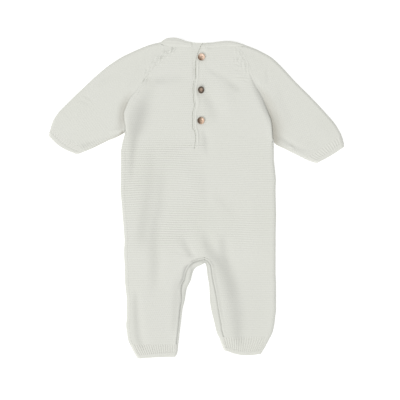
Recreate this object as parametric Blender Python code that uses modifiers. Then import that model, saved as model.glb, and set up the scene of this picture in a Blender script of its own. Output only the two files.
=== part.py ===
"""Knitted baby romper with long raglan sleeves, laid flat with its buttoned back upwards.

The garment lies on the plane z = 0, with its neck towards +Y. Left and right are those of
someone who looks down on it. Sizes are in millimetres and become metres when a mesh is made.
"""

from collections import namedtuple
import math

import bmesh
import bpy
import numpy as np

MM = 0.001

# The cloth.
WALL = 2.6           # thickness of the knitted cloth
LOFT = 7.4           # height of the two layers, with the little air between them
RIM = 4.0            # width over which a folded edge rounds down
LEAST_AIR = 0.35      # between the layers at the foot of a trough
MOST_RIDGE = 1.6      # the highest that a ridge stands above the rest
RIM_ANGLES = np.radians(np.linspace(90, -90, 6))

# Seams.
HALF_SEAM = 0.2      # each piece stops this far short of the seam's line
UNDERARM_STEP = 0.3

# The placket at the centre back.
PLACKET_LEFT = -7.5
PLACKET_RIGHT = 14.9
PLACKET_FOOT = 79.2
UNDER_WALL = 1.8     # the band that carries the buttons
OVER_WALL = 2.2      # the band that buttons over it
UNDER_TOP = 4.7      # height of the button band's face where the other band covers it
UNDER_STEP = 1.5     # how far it rises to meet the left back
UNDER_STEP_WIDTH = 2.6
UNDER_RIGHT = 12.8

# The crotch and the centre line of the front.
CROTCH = (13.3, -103.2)
CROTCH_STRIP = 5.8
NECK_CENTRE_X = 3.5

# How finely each stretch is divided.
RAGLAN_ROWS = 11
ARMPIT_ROWS = 2
BODY_ROWS = 12
LEG_ROWS = 11
LEG_CLOSENESS = 1.5  # how much closer a leg's rows lie near the crotch
HALF_COLUMNS = 11
SLEEVE_ROWS = 9
POINTS_PER_RIB = 3
NECK_ROWS = 4        # rows over which the body takes up the curve of the neck seam
BAND_ROWS = 8
OVERLAP_ROWS = 22

# The ribbed cuffs.
RIB_HEIGHT = 0.7
ANKLE_RIBS = 18
SLEEVE_CUFF_RIBS = 13
LEFT_ANKLE = -233.0
RIGHT_ANKLE = -221.5

# The buttons.
BUTTON_RADIUS = 5.7
BUTTON_SEAT = 7.55
BUTTON_SIDES = 20
HOLE_RADIUS = 0.65
HOLE_SPACING = 2.7
HOLE_SIDES = 8
HOLE_DEPTH = 8.0

# Outlines of the sides, as rows of height y and place x.
LEFT_SIDE = [(106, -114), (86, -118.6), (73, -120.2), (34, -120.2), (15, -121.8),
             (-10, -118.6), (-30, -117), (-49, -115.4), (-70, -114.2), (-88, -115.2),
             (-108, -114), (-132, -113.8), (-164, -110.8), (-190, -110.8), (-202, -112.2),
             (-215, -111), (-228, -109.2), (-233, -107)]
RIGHT_SIDE = [(90.5, 123.2), (80, 124), (66, 124.4), (50, 125.8), (28, 127.8), (15, 126.6),
              (-30, 128.2), (-55, 126.6), (-119, 126.6), (-140, 128.2), (-177, 128.2),
              (-190, 126.6), (-202, 125), (-215, 121.8), (-221.5, 118.6)]
LEFT_INNER = [CROTCH[::-1], (-106.4, 8), (-109, 2), (-112.8, -3), (-119, -6.2),
              (-132, -9.6), (-145, -15.8), (-164, -19), (-177, -22.2), (-202, -25.4),
              (-228, -28.6), (-233, -29.2)]
RIGHT_INNER = [CROTCH[::-1], (-106.4, 15.6), (-113, 17), (-122, 18.2), (-145, 21.6),
               (-164, 22.4), (-177, 23.8), (-202, 30.2), (-215, 33.4), (-221.5, 36.6)]

# Width of the strip that the front turns up onto the back, as rows of height y and width.
LEFT_STRIP = [(106, 7), (60, 8), (0, 6.5), (-60, 6), (-130, 6), (-233, 5.2)]
RIGHT_STRIP = [(91, 5.5), (-60, 5), (-222, 5)]
LEFT_INNER_STRIP = [(CROTCH[1], CROTCH_STRIP), (-110, 9), (-138, 8.5), (-165, 5.5),
                    (-190, 4.6), (-233, 4.6)]
RIGHT_INNER_STRIP = [(CROTCH[1], CROTCH_STRIP), (-112, 8.5), (-140, 8.5), (-165, 9.3), (-190, 8.8),
                     (-222, 6.5)]

# Raglan seams, as rows of height y and place x.
LEFT_RAGLAN = [(106, -114), (115, -113.5), (125, -115.5), (135, -116), (147, -112),
               (160, -106), (173, -95), (190, -84), (205, -71), (221, -58.5), (240.5, -38)]
RIGHT_RAGLAN = [(90.5, 123.2), (98, 121.5), (109, 121), (125, 119), (138, 114.5), (150, 110),
                (162, 105), (173, 98.5), (184, 92), (197, 86), (211, 81), (226, 74), (242, 62)]

# The neck seam and the neckband's upper edge, as rows of place x and height y.
NECK_SEAM = [(-57, 250), (-55.6, 246.2), (-47, 243), (-38, 240.5), (-24, 241), (-8, 241),
             (5, 240.3), (20, 240.3), (36, 241.5), (50, 242.3), (62, 242), (70, 242.8),
             (75.6, 242), (77, 245.8)]
NECK_EDGE = [(-57, 250), (-52, 253), (-45, 256), (-36, 257), (-26, 255), (-14, 251),
             (5, 247.8), (20, 248.6), (36, 250.8), (50, 251.8), (60, 250.6), (77, 245.9)]
NECKBAND_INSET = 1.8

# Edges of the sleeves from body to cuff, as rows of place x and height y.
LEFT_SHOULDER = [(-57, 250), (-73.8, 245.6), (-91.4, 239.2), (-105.8, 232.8),
                 (-118.6, 226.4), (-137.8, 213.6), (-153.8, 200.8), (-182.6, 175.2),
                 (-208.2, 149.6), (-221, 136.8), (-229, 124.4), (-233.2, 113)]
LEFT_UNDERARM = [(-114, 106), (-126.2, 98.6), (-142.2, 92), (-155, 85.6), (-167.8, 79.4),
                 (-177, 75.5)]
RIGHT_SHOULDER = [(77, 245.8), (94.6, 239.2), (107.4, 232.8), (118.6, 226.4), (126.6, 220),
                  (139.4, 207.2), (157, 188), (182.6, 162.4), (206.6, 136.8), (222.6, 117.8),
                  (231.6, 102.4)]
RIGHT_UNDERARM = [(123.2, 90.5), (127.8, 85.8), (140.6, 79.2), (153.4, 72.8), (173.6, 62.6)]

# Each cuff from its seam to its edge: the two sides, and how far the edge bows outwards.
Cuff = namedtuple("Cuff", "side_a side_b bow ribs")
LEFT_SLEEVE_CUFF = Cuff(side_a=[(-177, 75.5), (-184, 72.4), (-191, 69.8)],
                        side_b=[(-233.2, 113), (-235.4, 106), (-235.8, 98.6)],
                        bow=6.0, ribs=SLEEVE_CUFF_RIBS)
RIGHT_SLEEVE_CUFF = Cuff(side_a=[(173.6, 62.6), (181.6, 59), (190.6, 56.8)],
                         side_b=[(231.6, 102.4), (235, 92), (236, 82.2)],
                         bow=4.4, ribs=SLEEVE_CUFF_RIBS)
LEFT_ANKLE_CUFF = Cuff(side_a=[(-107, LEFT_ANKLE), (-101, -245), (-93.5, -256.4)],
                       side_b=[(-29.2, LEFT_ANKLE), (-30.2, -244), (-33.5, -253)],
                       bow=1.4, ribs=ANKLE_RIBS)
RIGHT_ANKLE_CUFF = Cuff(side_a=[(118.6, RIGHT_ANKLE), (111.6, -234), (102.5, -249.5)],
                        side_b=[(36.6, RIGHT_ANKLE), (40.6, -233), (45, -243.6)],
                        bow=4.0, ribs=ANKLE_RIBS)

# The wavy edge of the upper placket band, as rows of height y and place x.
OVERLAP_EDGE = [(80, -3.2), (96, -0.9), (106, -2.2), (114, -6.1), (135, -6.1), (149, -3.4),
                (165, -5), (177, -5.6), (191, -1.6), (216, -1.4), (228, 1.4), (235, 3.8),
                (242.7, 7), (248, 10.2)]

# The main creases of the upper layer: height (below nothing in a trough) and half width of
# each, and the points along it.
Fold = namedtuple("Fold", "height width line")
FOLDS = [
    Fold(-1.7, 7, [(-87, 145), (-95, 125), (-98, 93), (-103, 69)]),
    Fold(0.9, 5, [(-107, 137), (-109, 101), (-111, 77)]),
    Fold(-1.1, 9, [(-79, 77), (-79, -62), (-71, -67), (-66, -118)]),
    Fold(0.8, 16, [(-56, 40), (-56, -8)]),
    Fold(-1.2, 7, [(-98, -158), (-95, -200), (-92, -235)]),
    Fold(-1.6, 9, [(22, -75), (38, -102), (49, -134), (62, -174), (70, -219)]),
    Fold(-0.8, 5, [(-18, -75), (-10, -86)]),
    Fold(-0.8, 9, [(-7, 72), (6, 29), (30, 10), (54, -22)]),
    Fold(-0.9, 8, [(24, 157), (46, 117)]),
    Fold(-0.6, 5, [(19, 109), (19, 85)]),
    Fold(-0.9, 12, [(-34, 197), (-66, 181), (-82, 141)]),
    Fold(-0.8, 10, [(24, 202), (70, 178)]),
    Fold(-1.9, 7, [(100, 178), (114, 151), (127, 120), (128, 96)]),
    Fold(-1.5, 6, [(-117, 162), (-124, 138), (-124, 112)]),
    Fold(1.0, 6, [(103, 150), (111, 124), (114, 94)]),
    Fold(-1.0, 10, [(-150, 176), (-172, 146), (-178, 118)]),
    Fold(-0.9, 9, [(176, 148), (188, 120), (186, 92)]),
    Fold(0.8, 12, [(-134, 186), (-146, 150), (-150, 118)]),
    Fold(0.7, 12, [(150, 158), (160, 128), (160, 100)]),
    Fold(0.7, 14, [(86, 20), (88, -60), (92, -120)]),
]

# The upper band's rolled edge, from the edge inwards: the step from the edge, the cloth's
# thickness there, and how far its under face stands off the band below.
Bead = namedtuple("Bead", "step thickness lift")
BEADS = [Bead(0, 0.9, 0.5), Bead(0.9, 2.3, 0), Bead(2.3, 2.9, 0), Bead(3.9, 2.1, 0)]

# The neckband's rolled section from the neck seam to its edge: the share of its height, how
# far it stands above the cloth, and its thickness.
Roll = namedtuple("Roll", "level rise thickness")
NECK_ROLL = [Roll(0, 0, WALL), Roll(0.45, 0.7, WALL), Roll(0.8, 0.5, WALL), Roll(1, -0.6, 1.4)]

Button = namedtuple("Button", "x y tilt")
BUTTONS = {
    "button_top": Button(7.7, 225.6, 0),
    "button_middle": Button(6.9, 173.4, 28),
    "button_bottom": Button(7.0, 123.7, 0),
}

# A button's turned section from the middle of its dished face over the rim to its domed
# back, as rows of radius and height.
BUTTON_PROFILE = [(0, 2.1), (2.2, 2.15), (3.3, 2.6), (4.1, 3.0), (4.9, 3.1), (5.5, 2.7),
                  (BUTTON_RADIUS, 2.1), (5.4, 1.3), (3.8, 0.55), (1.8, 0), (0, 0)]

CREAM = (0.72, 0.73, 0.67, 1)
CREAM_RIB = (0.70, 0.71, 0.65, 1)
SHELL_BROWN = (0.19, 0.085, 0.04, 1)


def empty_scene():
    for item in list(bpy.data.objects):
        bpy.data.objects.remove(item)


def new_collection(name):
    collection = bpy.data.collections.new(name)
    bpy.context.scene.collection.children.link(collection)
    return collection


def new_material(name, colour, roughness):
    material = bpy.data.materials.new(name)
    material.use_nodes = True
    shader = material.node_tree.nodes["Principled BSDF"]
    shader.inputs["Base Color"].default_value = colour
    shader.inputs["Roughness"].default_value = roughness
    shader.inputs["Metallic"].default_value = 0.0
    return material


# Curves.

def through(rows):
    """A smooth function through rows of (place, value), which never overshoots them."""
    place, value = np.array(sorted(rows), float).T
    step = np.diff(place)
    slope = np.diff(value) / step
    tangent = np.zeros_like(value)
    tangent[0] = slope[0]
    tangent[-1] = slope[-1]
    before, after = slope[:-1], slope[1:]
    same_way = before * after > 0
    total = np.where(same_way, before + after, 1.0)
    tangent[1:-1] = np.where(same_way, 2 * before * after / total, 0.0)

    def at(where):
        where = np.clip(where, place[0], place[-1])
        i = np.clip(np.searchsorted(place, where) - 1, 0, len(step) - 1)
        u = (where - place[i]) / step[i]
        rise = value[i] + (value[i + 1] - value[i]) * u * u * (3 - 2 * u)
        bend = u * (1 - u) * ((1 - u) * (tangent[i] * step[i]) - u * (tangent[i + 1] * step[i]))
        return rise + bend
    return at


def along(points, count):
    """Points at equal shares of the length of a smooth line through the given points."""
    points = np.array(points, float)
    length = np.concatenate([[0], np.cumsum(np.hypot(*np.diff(points, axis=0).T))])
    share = np.linspace(0, length[-1], count)
    x = through(list(zip(length, points[:, 0])))
    y = through(list(zip(length, points[:, 1])))
    return np.stack([x(share), y(share)], axis=-1)


def unit(vectors):
    return vectors / np.linalg.norm(vectors, axis=-1, keepdims=True)


def left_normals(points):
    """Unit vectors to the left of the way that the line of points runs."""
    way = unit(np.gradient(points, axis=0))
    return np.stack([-way[:, 1], way[:, 0]], axis=-1)


# The height of the upper layer.

def distance_to_line(points, line):
    nearest = np.full(points.shape[:-1], np.inf)
    for start, end in zip(np.array(line[:-1], float), np.array(line[1:], float)):
        run = end - start
        share = np.clip(((points - start) @ run) / (run @ run), 0, 1)
        foot = start + share[..., None] * run
        nearest = np.minimum(nearest, np.linalg.norm(points - foot, axis=-1))
    return nearest


def top_height(points):
    """Height of the garment's upper face over points of the plane."""
    relief = np.zeros(points.shape[:-1])
    for fold in FOLDS:
        relief += fold.height * np.exp(-(distance_to_line(points, fold.line) / fold.width) ** 2)
    return np.clip(LOFT + relief, 2 * WALL + LEAST_AIR, LOFT + MOST_RIDGE)


# Columns of points on a wall's outer and inner face.

def lift(points, height):
    height = np.broadcast_to(height, points.shape[:-1])
    return np.concatenate([points, height[..., None]], axis=-1)


def top_column(points):
    height = top_height(points)
    return lift(points, height), lift(points, height - WALL)


def floor_column(points):
    return lift(points, 0.0), lift(points, WALL)


def fold_columns(edge, inward):
    """Round a folded edge, from the upper layer down to the one on the floor."""
    half = top_height(edge + RIM * inward) / 2
    columns = []
    for angle in RIM_ANGLES:
        run = 1 - math.cos(angle)
        rise = math.sin(angle)
        outer = lift(edge + RIM * run * inward, half * (1 + rise))
        inner_run = WALL + (RIM - WALL) * run
        inner = lift(edge + inner_run * inward, half + (half - WALL) * rise)
        columns.append((outer, inner))
    return columns


def between(first, last, count):
    """The given number of points between two points or rows of points, without the ends."""
    shares = np.linspace(0, 1, count + 2)[1:-1]
    return [first + (last - first) * share for share in shares]


def grid(columns):
    """Outer and inner grids, rows by columns, from a list of columns."""
    return tuple(np.stack(side, axis=1) for side in zip(*columns))


# Solids.

def wall(name, patches, material, collection):
    """A closed wall from patches of outer and inner points; shared outer points are welded."""
    index, outer_points, inner_points, faces = {}, [], [], []
    for outer, inner in patches:
        rows, columns = outer.shape[:2]
        number = np.zeros((rows, columns), int)
        for i in range(rows):
            for j in range(columns):
                key = tuple(np.round(outer[i, j], 3) + 0.0)
                if key not in index:
                    index[key] = len(outer_points)
                    outer_points.append(outer[i, j])
                    inner_points.append(inner[i, j])
                number[i, j] = index[key]
        for i in range(rows - 1):
            for j in range(columns - 1):
                corners = [number[i, j], number[i + 1, j], number[i + 1, j + 1], number[i, j + 1]]
                face = list(dict.fromkeys(int(corner) for corner in corners))
                if len(face) > 2:
                    faces.append(face)
    count = len(outer_points)
    sides = {(a, b) for face in faces for a, b in zip(face, face[1:] + face[:1])}
    shell = [tuple(face) for face in faces]
    shell += [tuple(corner + count for corner in reversed(face)) for face in faces]
    shell += [(b, a, a + count, b + count) for a, b in sorted(sides) if (b, a) not in sides]
    mesh = bpy.data.meshes.new(name)
    mesh.from_pydata(np.array(outer_points + inner_points) * MM, [], shell)
    return finish(name, mesh, material, collection)


def finish(name, mesh, material, collection):
    """Turn the faces outwards and put the mesh in the scene as a smooth object."""
    work = bmesh.new()
    work.from_mesh(mesh)
    bmesh.ops.recalc_face_normals(work, faces=work.faces)
    if work.calc_volume(signed=True) < 0:
        bmesh.ops.reverse_faces(work, faces=work.faces)
    work.to_mesh(mesh)
    work.free()
    mesh.shade_smooth()
    mesh.set_sharp_from_angle(angle=math.radians(50))
    mesh.materials.append(material)
    item = bpy.data.objects.new(name, mesh)
    collection.objects.link(item)
    return item


# The body and legs.

Side = namedtuple("Side", "raglan edge strip inner inner_strip ankle sign")
LEFT = Side(LEFT_RAGLAN, LEFT_SIDE, LEFT_STRIP, LEFT_INNER, LEFT_INNER_STRIP, LEFT_ANKLE, -1)
RIGHT = Side(RIGHT_RAGLAN, RIGHT_SIDE, RIGHT_STRIP, RIGHT_INNER, RIGHT_INNER_STRIP,
             RIGHT_ANKLE, 1)
PLACKET_ROW = RAGLAN_ROWS + 1 + ARMPIT_ROWS


def raglan_points(side):
    """Points down a raglan seam from the neck to the underarm, a row for each body row."""
    low, high = side.raglan[0][0], side.raglan[-1][0]
    y = np.linspace(high, low + UNDERARM_STEP, RAGLAN_ROWS + 1)
    return np.stack([through(side.raglan)(y), y], axis=-1)


def body_edge(side):
    """Points down a side edge from the underarm to the level of the crotch."""
    underarm = side.edge[0][0] - UNDERARM_STEP
    armpit = np.linspace(underarm, PLACKET_FOOT, ARMPIT_ROWS + 1)
    body = np.linspace(PLACKET_FOOT, CROTCH[1], BODY_ROWS + 1)[1:]
    y = np.concatenate([armpit, body])
    return np.stack([through(side.edge)(y), y], axis=-1)


def leg_heights(side):
    """Heights down a leg from the crotch, closer together near the crotch."""
    share = np.linspace(0, 1, LEG_ROWS + 1) ** LEG_CLOSENESS
    return CROTCH[1] + (side.ankle + HALF_SEAM - CROTCH[1]) * share


def leg_edges(side):
    """The leg's outer and inner edge, with unit vectors from each into the cloth."""
    y = leg_heights(side)
    outer = np.stack([through(side.edge)(y), y], axis=-1)
    inner = np.stack([through(side.inner)(y), y], axis=-1)
    inward = side.sign * left_normals(inner)
    inward[0] = (0, 1)
    return outer, inner, inward


def side_edge(side):
    """The whole side edge from underarm to ankle, and unit vectors into the cloth."""
    edge = np.concatenate([body_edge(side), leg_edges(side)[0][1:]])
    return edge, -side.sign * left_normals(edge)


def strip_width(rows, edge):
    return through(rows)(edge[:, 1])[:, None]


def neck_row(x):
    return through(NECK_SEAM)(x) - HALF_SEAM


def follow_neck(column):
    """Move a column's top rows so that the first lies on the curve of the neck seam."""
    share = np.clip(1 - np.arange(len(column)) / NECK_ROWS, 0, 1)
    rise = neck_row(column[0, 0]) - column[0, 1]
    return column + np.outer(share, (0, rise))


def front_centre():
    """The middle of the front from the neck to the crotch, a point for each body row."""
    left = np.concatenate([raglan_points(LEFT), body_edge(LEFT)])
    right = np.concatenate([raglan_points(RIGHT), body_edge(RIGHT)])
    y = (left[:, 1] + right[:, 1]) / 2
    share = (y[0] - y) / (y[0] - y[-1])
    x = NECK_CENTRE_X + share * (CROTCH[0] - NECK_CENTRE_X)
    y[0] = neck_row(x[0])
    y[-1] = CROTCH[1] + RIM
    return np.stack([x, y], axis=-1)


def front_half(side):
    """Patches of one half of the front, with the leg and the strips turned up to the back."""
    raglan = raglan_points(side)
    raglan[:, 0] -= side.sign * HALF_SEAM
    raglan[0, 1] -= HALF_SEAM
    edge, inward = side_edge(side)
    seam = edge + (strip_width(side.strip, edge) - HALF_SEAM) * inward
    _, inner_edge, inner_inward = leg_edges(side)
    inner_width = strip_width(side.inner_strip, inner_edge) - HALF_SEAM
    inner_seam = inner_edge + inner_width * inner_inward
    inside = inner_edge + RIM * inner_inward
    middle = np.concatenate([front_centre(), inside[1:]])
    outside = edge + RIM * inward
    upper = np.concatenate([raglan, outside[:1]])
    upper_middle, lower_middle = middle[:len(upper)], middle[len(raglan):]

    yoke = [floor_column(upper)]
    yoke += [floor_column(follow_neck(points)) for points in between(upper, upper_middle, 1)]
    yoke.append(floor_column(upper_middle))
    sheet = [top_column(seam)] + fold_columns(edge, inward)
    sheet += [floor_column(points) for points in between(outside, lower_middle, 1)]
    sheet.append(floor_column(lower_middle))
    turned = fold_columns(inner_edge, inner_inward)[::-1] + [top_column(inner_seam)]
    patches = [grid(yoke), grid(sheet), grid(turned)]
    if side is RIGHT:
        patches = [(outer[:, ::-1], inner[:, ::-1]) for outer, inner in patches]
    return patches


def back_side_line(side):
    """Where the back's outer seam runs: down the raglan, then down the side seam."""
    raglan = raglan_points(side)
    raglan[:, 0] -= side.sign * HALF_SEAM
    raglan[0, 1] -= HALF_SEAM
    edge, inward = side_edge(side)
    seam = edge + (strip_width(side.strip, edge) + HALF_SEAM) * inward
    return np.concatenate([raglan, seam])


def back_inner_line(side):
    """The back's inner line: down the slit, on to the crotch, and down the inner leg."""
    _, edge, inward = leg_edges(side)
    seam = edge + (strip_width(side.inner_strip, edge) + HALF_SEAM) * inward
    slit_x = PLACKET_LEFT if side is LEFT else PLACKET_RIGHT
    y = np.concatenate([np.linspace(neck_row(slit_x), PLACKET_FOOT, PLACKET_ROW + 1),
                        np.linspace(PLACKET_FOOT, seam[0, 1], BODY_ROWS + 1)[1:]])
    fall = np.clip((PLACKET_FOOT - y) / (PLACKET_FOOT - seam[0, 1]), 0, 1)
    x = slit_x + (seam[0, 0] - slit_x) * fall ** 2
    return np.concatenate([np.stack([x, y], axis=-1), seam[1:]])


def back_half(side):
    """One half of the back, and its inner line from the placket's foot to the crotch."""
    outside = back_side_line(side)
    inside = back_inner_line(side)
    columns = [top_column(outside)]
    for points in between(outside, inside, HALF_COLUMNS - 1):
        columns.append(top_column(follow_neck(points)))
    columns.append(top_column(inside))
    patch = grid(columns)
    if side is RIGHT:
        patch = tuple(points[:, ::-1] for points in patch)
    return patch, inside[PLACKET_ROW:PLACKET_ROW + BODY_ROWS + 1]


def make_body(material, collection):
    wall("front_panel", front_half(LEFT) + front_half(RIGHT), material, collection)
    left, left_line = back_half(LEFT)
    right, right_line = back_half(RIGHT)
    middle = [left_line] + between(left_line, right_line, 1) + [right_line]
    centre = grid([top_column(points) for points in middle])
    wall("back_panel", [left, centre, right], material, collection)


# Flattened tubes: the sleeves and the cuffs.

def tube(name, edges, inwards, starts, shares, bow, rib, material, collection):
    """A flattened tube between two folded edges, open at its first and last row.

    starts holds the first row's points between the folds, and shares their places along a
    row. bow moves the last row's points outwards, and rib raises the upper face.
    """
    first, last = (edge + RIM * inward for edge, inward in zip(edges, inwards))
    fade = np.linspace(1, 0, len(first))[:, None] ** 2
    floor, top = [], []
    for share, start in zip(shares, starts):
        points = first + (last - first) * share
        points = points + fade * (start - points[0]) + (1 - fade) * bow(share)
        floor.append(floor_column(points))
        outer, inner = top_column(points)
        top.append((outer + (0, 0, rib(share)), inner))
    fold_a, fold_b = (fold_columns(edge, inward) for edge, inward in zip(edges, inwards))
    columns = floor + fold_b[::-1] + top[::-1] + fold_a
    wall(name, [grid(columns + columns[:1])], material, collection)


def nothing(share):
    return 0.0


def make_sleeve(name, side, underarm, shoulder, material, collection):
    """A raglan sleeve, from its raglan seam and its stretch of the neck seam to the cuff."""
    edge_a = along(underarm, SLEEVE_ROWS + 1)
    edge_b = along(shoulder, SLEEVE_ROWS + 1)
    inward_a = side.sign * left_normals(edge_a)
    inward_b = -side.sign * left_normals(edge_b)
    edge_a[0, 0] += side.sign * HALF_SEAM
    inward_a[0] = (0, 1)
    inward_a[-1] = unit(edge_b[-1] - edge_a[-1])
    inward_b[-1] = -inward_a[-1]
    edge_a[-1] -= HALF_SEAM * unit(edge_a[-1] - edge_a[-2])
    edge_b[-1] -= HALF_SEAM * unit(edge_b[-1] - edge_b[-2])

    raglan = raglan_points(side)[:-1][::-1]
    raglan[:, 0] += side.sign * HALF_SEAM
    raglan[-1, 1] -= HALF_SEAM
    beyond = [point for point in NECK_SEAM if side.sign * (point[0] - raglan[-1, 0]) > 0]
    neck = sorted(beyond, key=lambda point: side.sign * point[0])[:-2]
    starts = np.concatenate([raglan, np.array(neck, float) - (0, HALF_SEAM)])
    row = np.concatenate([[edge_a[0] + RIM * inward_a[0]], starts,
                          [edge_b[0] + RIM * inward_b[0]]])
    reach = np.cumsum(np.linalg.norm(np.diff(row, axis=0), axis=1))
    shares = reach[:-1] / reach[-1]
    tube(name, (edge_a, edge_b), (inward_a, inward_b), starts, shares, nothing, nothing,
         material, collection)


def make_cuff(name, cuff, rows, material, collection):
    """A ribbed cuff; its ribs stand on the upper face and run from its seam to its edge."""
    edge_a = along(cuff.side_a, rows + 1)
    edge_b = along(cuff.side_b, rows + 1)
    edge_a[0] += HALF_SEAM * unit(edge_a[1] - edge_a[0])
    edge_b[0] += HALF_SEAM * unit(edge_b[1] - edge_b[0])
    across = unit(edge_b - edge_a)
    outwards = unit((edge_a[-1] - edge_a[0]) + (edge_b[-1] - edge_b[0]))
    shares = np.linspace(0, 1, cuff.ribs * POINTS_PER_RIB + 1)[1:-1]
    first, last = edge_a[0] + RIM * across[0], edge_b[0] - RIM * across[0]
    starts = first + (last - first) * shares[:, None]

    def bow(share):
        return cuff.bow * math.sin(math.pi * share) ** 0.7 * outwards

    def rib(share):
        return RIB_HEIGHT * (0.5 - 0.5 * math.cos(2 * math.pi * cuff.ribs * share))
    tube(name, (edge_a, edge_b), (across, -across), starts, shares, bow, rib,
         material, collection)


# The neckband and the placket.

def make_neckband(material, collection):
    """The band round the neck, open at the placket, with its rolled edge uppermost."""
    low = through(NECK_SEAM)
    high = through(NECK_EDGE)
    left_end = NECK_SEAM[0][0] + NECKBAND_INSET
    right_end = NECK_SEAM[-1][0] - NECKBAND_INSET
    corner_left = raglan_points(LEFT)[0, 0]
    corner_right = raglan_points(RIGHT)[0, 0]
    back_left = np.concatenate([
        np.linspace(PLACKET_LEFT, corner_left, HALF_COLUMNS + 1),
        np.linspace(corner_left, left_end + RIM, 3)[1:-1]])
    back_right = np.concatenate([
        np.linspace(right_end - RIM, corner_right, 3)[1:],
        np.linspace(corner_right, PLACKET_RIGHT, HALF_COLUMNS + 1)[1:]])
    front = np.linspace(left_end + RIM, right_end - RIM, 12)[1:-1]
    levels, rise, thickness = np.array(NECK_ROLL, float).T

    def column(x_outer, x_inner, z_outer, z_inner):
        sides = []
        for x, z in ((x_outer, z_outer), (x_inner, z_inner)):
            y = low(x) + HALF_SEAM + (high(x) - low(x) - HALF_SEAM) * levels
            sides.append(np.stack([np.full_like(y, x), y, z * np.ones_like(y)], axis=-1))
        return tuple(sides)

    def fold(end, inward):
        half = (LOFT + rise) / 2
        columns = []
        for angle in RIM_ANGLES:
            run = 1 - math.cos(angle)
            turn = math.sin(angle)
            columns.append(column(end + inward * RIM * run,
                                  end + inward * (WALL + (RIM - WALL) * run),
                                  half * (1 + turn), half + (half - thickness) * turn))
        return columns

    columns = [column(x, x, LOFT + rise, LOFT + rise - thickness) for x in back_left]
    columns += fold(left_end, 1)
    columns += [column(x, x, 0 * rise, thickness) for x in front]
    columns += fold(right_end, -1)[::-1]
    columns += [column(x, x, LOFT + rise, LOFT + rise - thickness) for x in back_right]
    wall("neckband", [grid(columns)], material, collection)


def band_heights(x, shares):
    """Heights at shares of the way up the placket, from its foot to the neck's edge."""
    foot = PLACKET_FOOT + 2 * HALF_SEAM
    return foot + (through(NECK_EDGE)(x) - foot) * shares


def under_height(x):
    """Upper face of the button band, which steps down to lie under the other band."""
    return UNDER_TOP + UNDER_STEP * np.exp(-((x - PLACKET_LEFT) / UNDER_STEP_WIDTH) ** 2)


def make_button_band(material, collection):
    shares = np.linspace(0, 1, BAND_ROWS + 1)
    left = PLACKET_LEFT + 2 * HALF_SEAM
    columns = []
    for x in (left, left + 2, left + 4.2, left + 11, UNDER_RIGHT):
        x = np.full(len(shares), x)
        points = np.stack([x, band_heights(x, shares)], axis=-1)
        height = under_height(x)
        columns.append((lift(points, height), lift(points, height - UNDER_WALL)))
    wall("button_band", [grid(columns)], material, collection)


def make_buttonhole_band(material, collection):
    """The upper band, whose free edge waves and rolls into a soft bead."""
    shares = np.linspace(0, 1, OVERLAP_ROWS + 1)
    x_right = np.full(len(shares), PLACKET_RIGHT - 2 * HALF_SEAM)
    y = band_heights(x_right, shares)
    edge = through(OVERLAP_EDGE)(y)
    scale = (x_right - edge) / (PLACKET_RIGHT - OVERLAP_EDGE[0][1])
    section = [(edge + bead.step * scale, bead.thickness, bead.lift) for bead in BEADS]
    section += [(x, OVER_WALL, 0) for x in between(section[-1][0], x_right, 1) + [x_right]]
    columns = []
    for x, thickness, rise in section:
        base = under_height(x) + 2 * HALF_SEAM + rise
        points = np.stack([x, band_heights(x, shares)], axis=-1)
        columns.append((lift(points, base + thickness), lift(points, base)))
    wall("buttonhole_band", [grid(columns)], material, collection)


# The buttons.

def button_section():
    """The line that is turned into a button."""
    work = bmesh.new()
    points = [work.verts.new((radius * MM, 0, height * MM)) for radius, height in BUTTON_PROFILE]
    for first, second in zip(points, points[1:]):
        work.edges.new((first, second))
    mesh = bpy.data.meshes.new("button_profile")
    work.to_mesh(mesh)
    work.free()
    return mesh


def make_button(name, button, material, collection, cutters):
    """A turned button with two holes, tilted so that it still clears the band under it."""
    item = bpy.data.objects.new(name, button_section())
    collection.objects.link(item)
    item.data.materials.append(material)
    turn = item.modifiers.new("turn", "SCREW")
    turn.axis = "Z"
    turn.angle = 2 * math.pi
    turn.steps = BUTTON_SIDES
    turn.render_steps = BUTTON_SIDES
    turn.use_merge_vertices = True
    turn.merge_threshold = 0.00005
    turn.use_smooth_shade = True
    tilt = math.radians(button.tilt)
    drop = max(radius * math.sin(tilt) - height * math.cos(tilt)
               for radius, height in BUTTON_PROFILE)
    item.location = (button.x * MM, button.y * MM, (BUTTON_SEAT + drop) * MM)
    item.rotation_euler = (0, tilt, 0)
    cut = item.modifiers.new("holes", "BOOLEAN")
    cut.operation = "DIFFERENCE"
    cut.solver = "EXACT"
    cut.object = make_holes(name + "_holes", item, cutters)


def make_holes(name, button, cutters):
    """The cutter of a button's two holes."""
    work = bmesh.new()
    for shift in (-HOLE_SPACING / 2, HOLE_SPACING / 2):
        hole = bmesh.ops.create_cone(work, cap_ends=True, segments=HOLE_SIDES,
                                     radius1=HOLE_RADIUS * MM, radius2=HOLE_RADIUS * MM,
                                     depth=HOLE_DEPTH * MM)
        bmesh.ops.translate(work, verts=hole["verts"], vec=(shift * MM, 0, 0))
    mesh = bpy.data.meshes.new(name)
    work.to_mesh(mesh)
    work.free()
    cutter = bpy.data.objects.new(name, mesh)
    cutter.location = button.location
    cutter.rotation_euler = button.rotation_euler
    cutter.hide_render = True
    cutter.display_type = "WIRE"
    cutters.objects.link(cutter)
    return cutter


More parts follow.
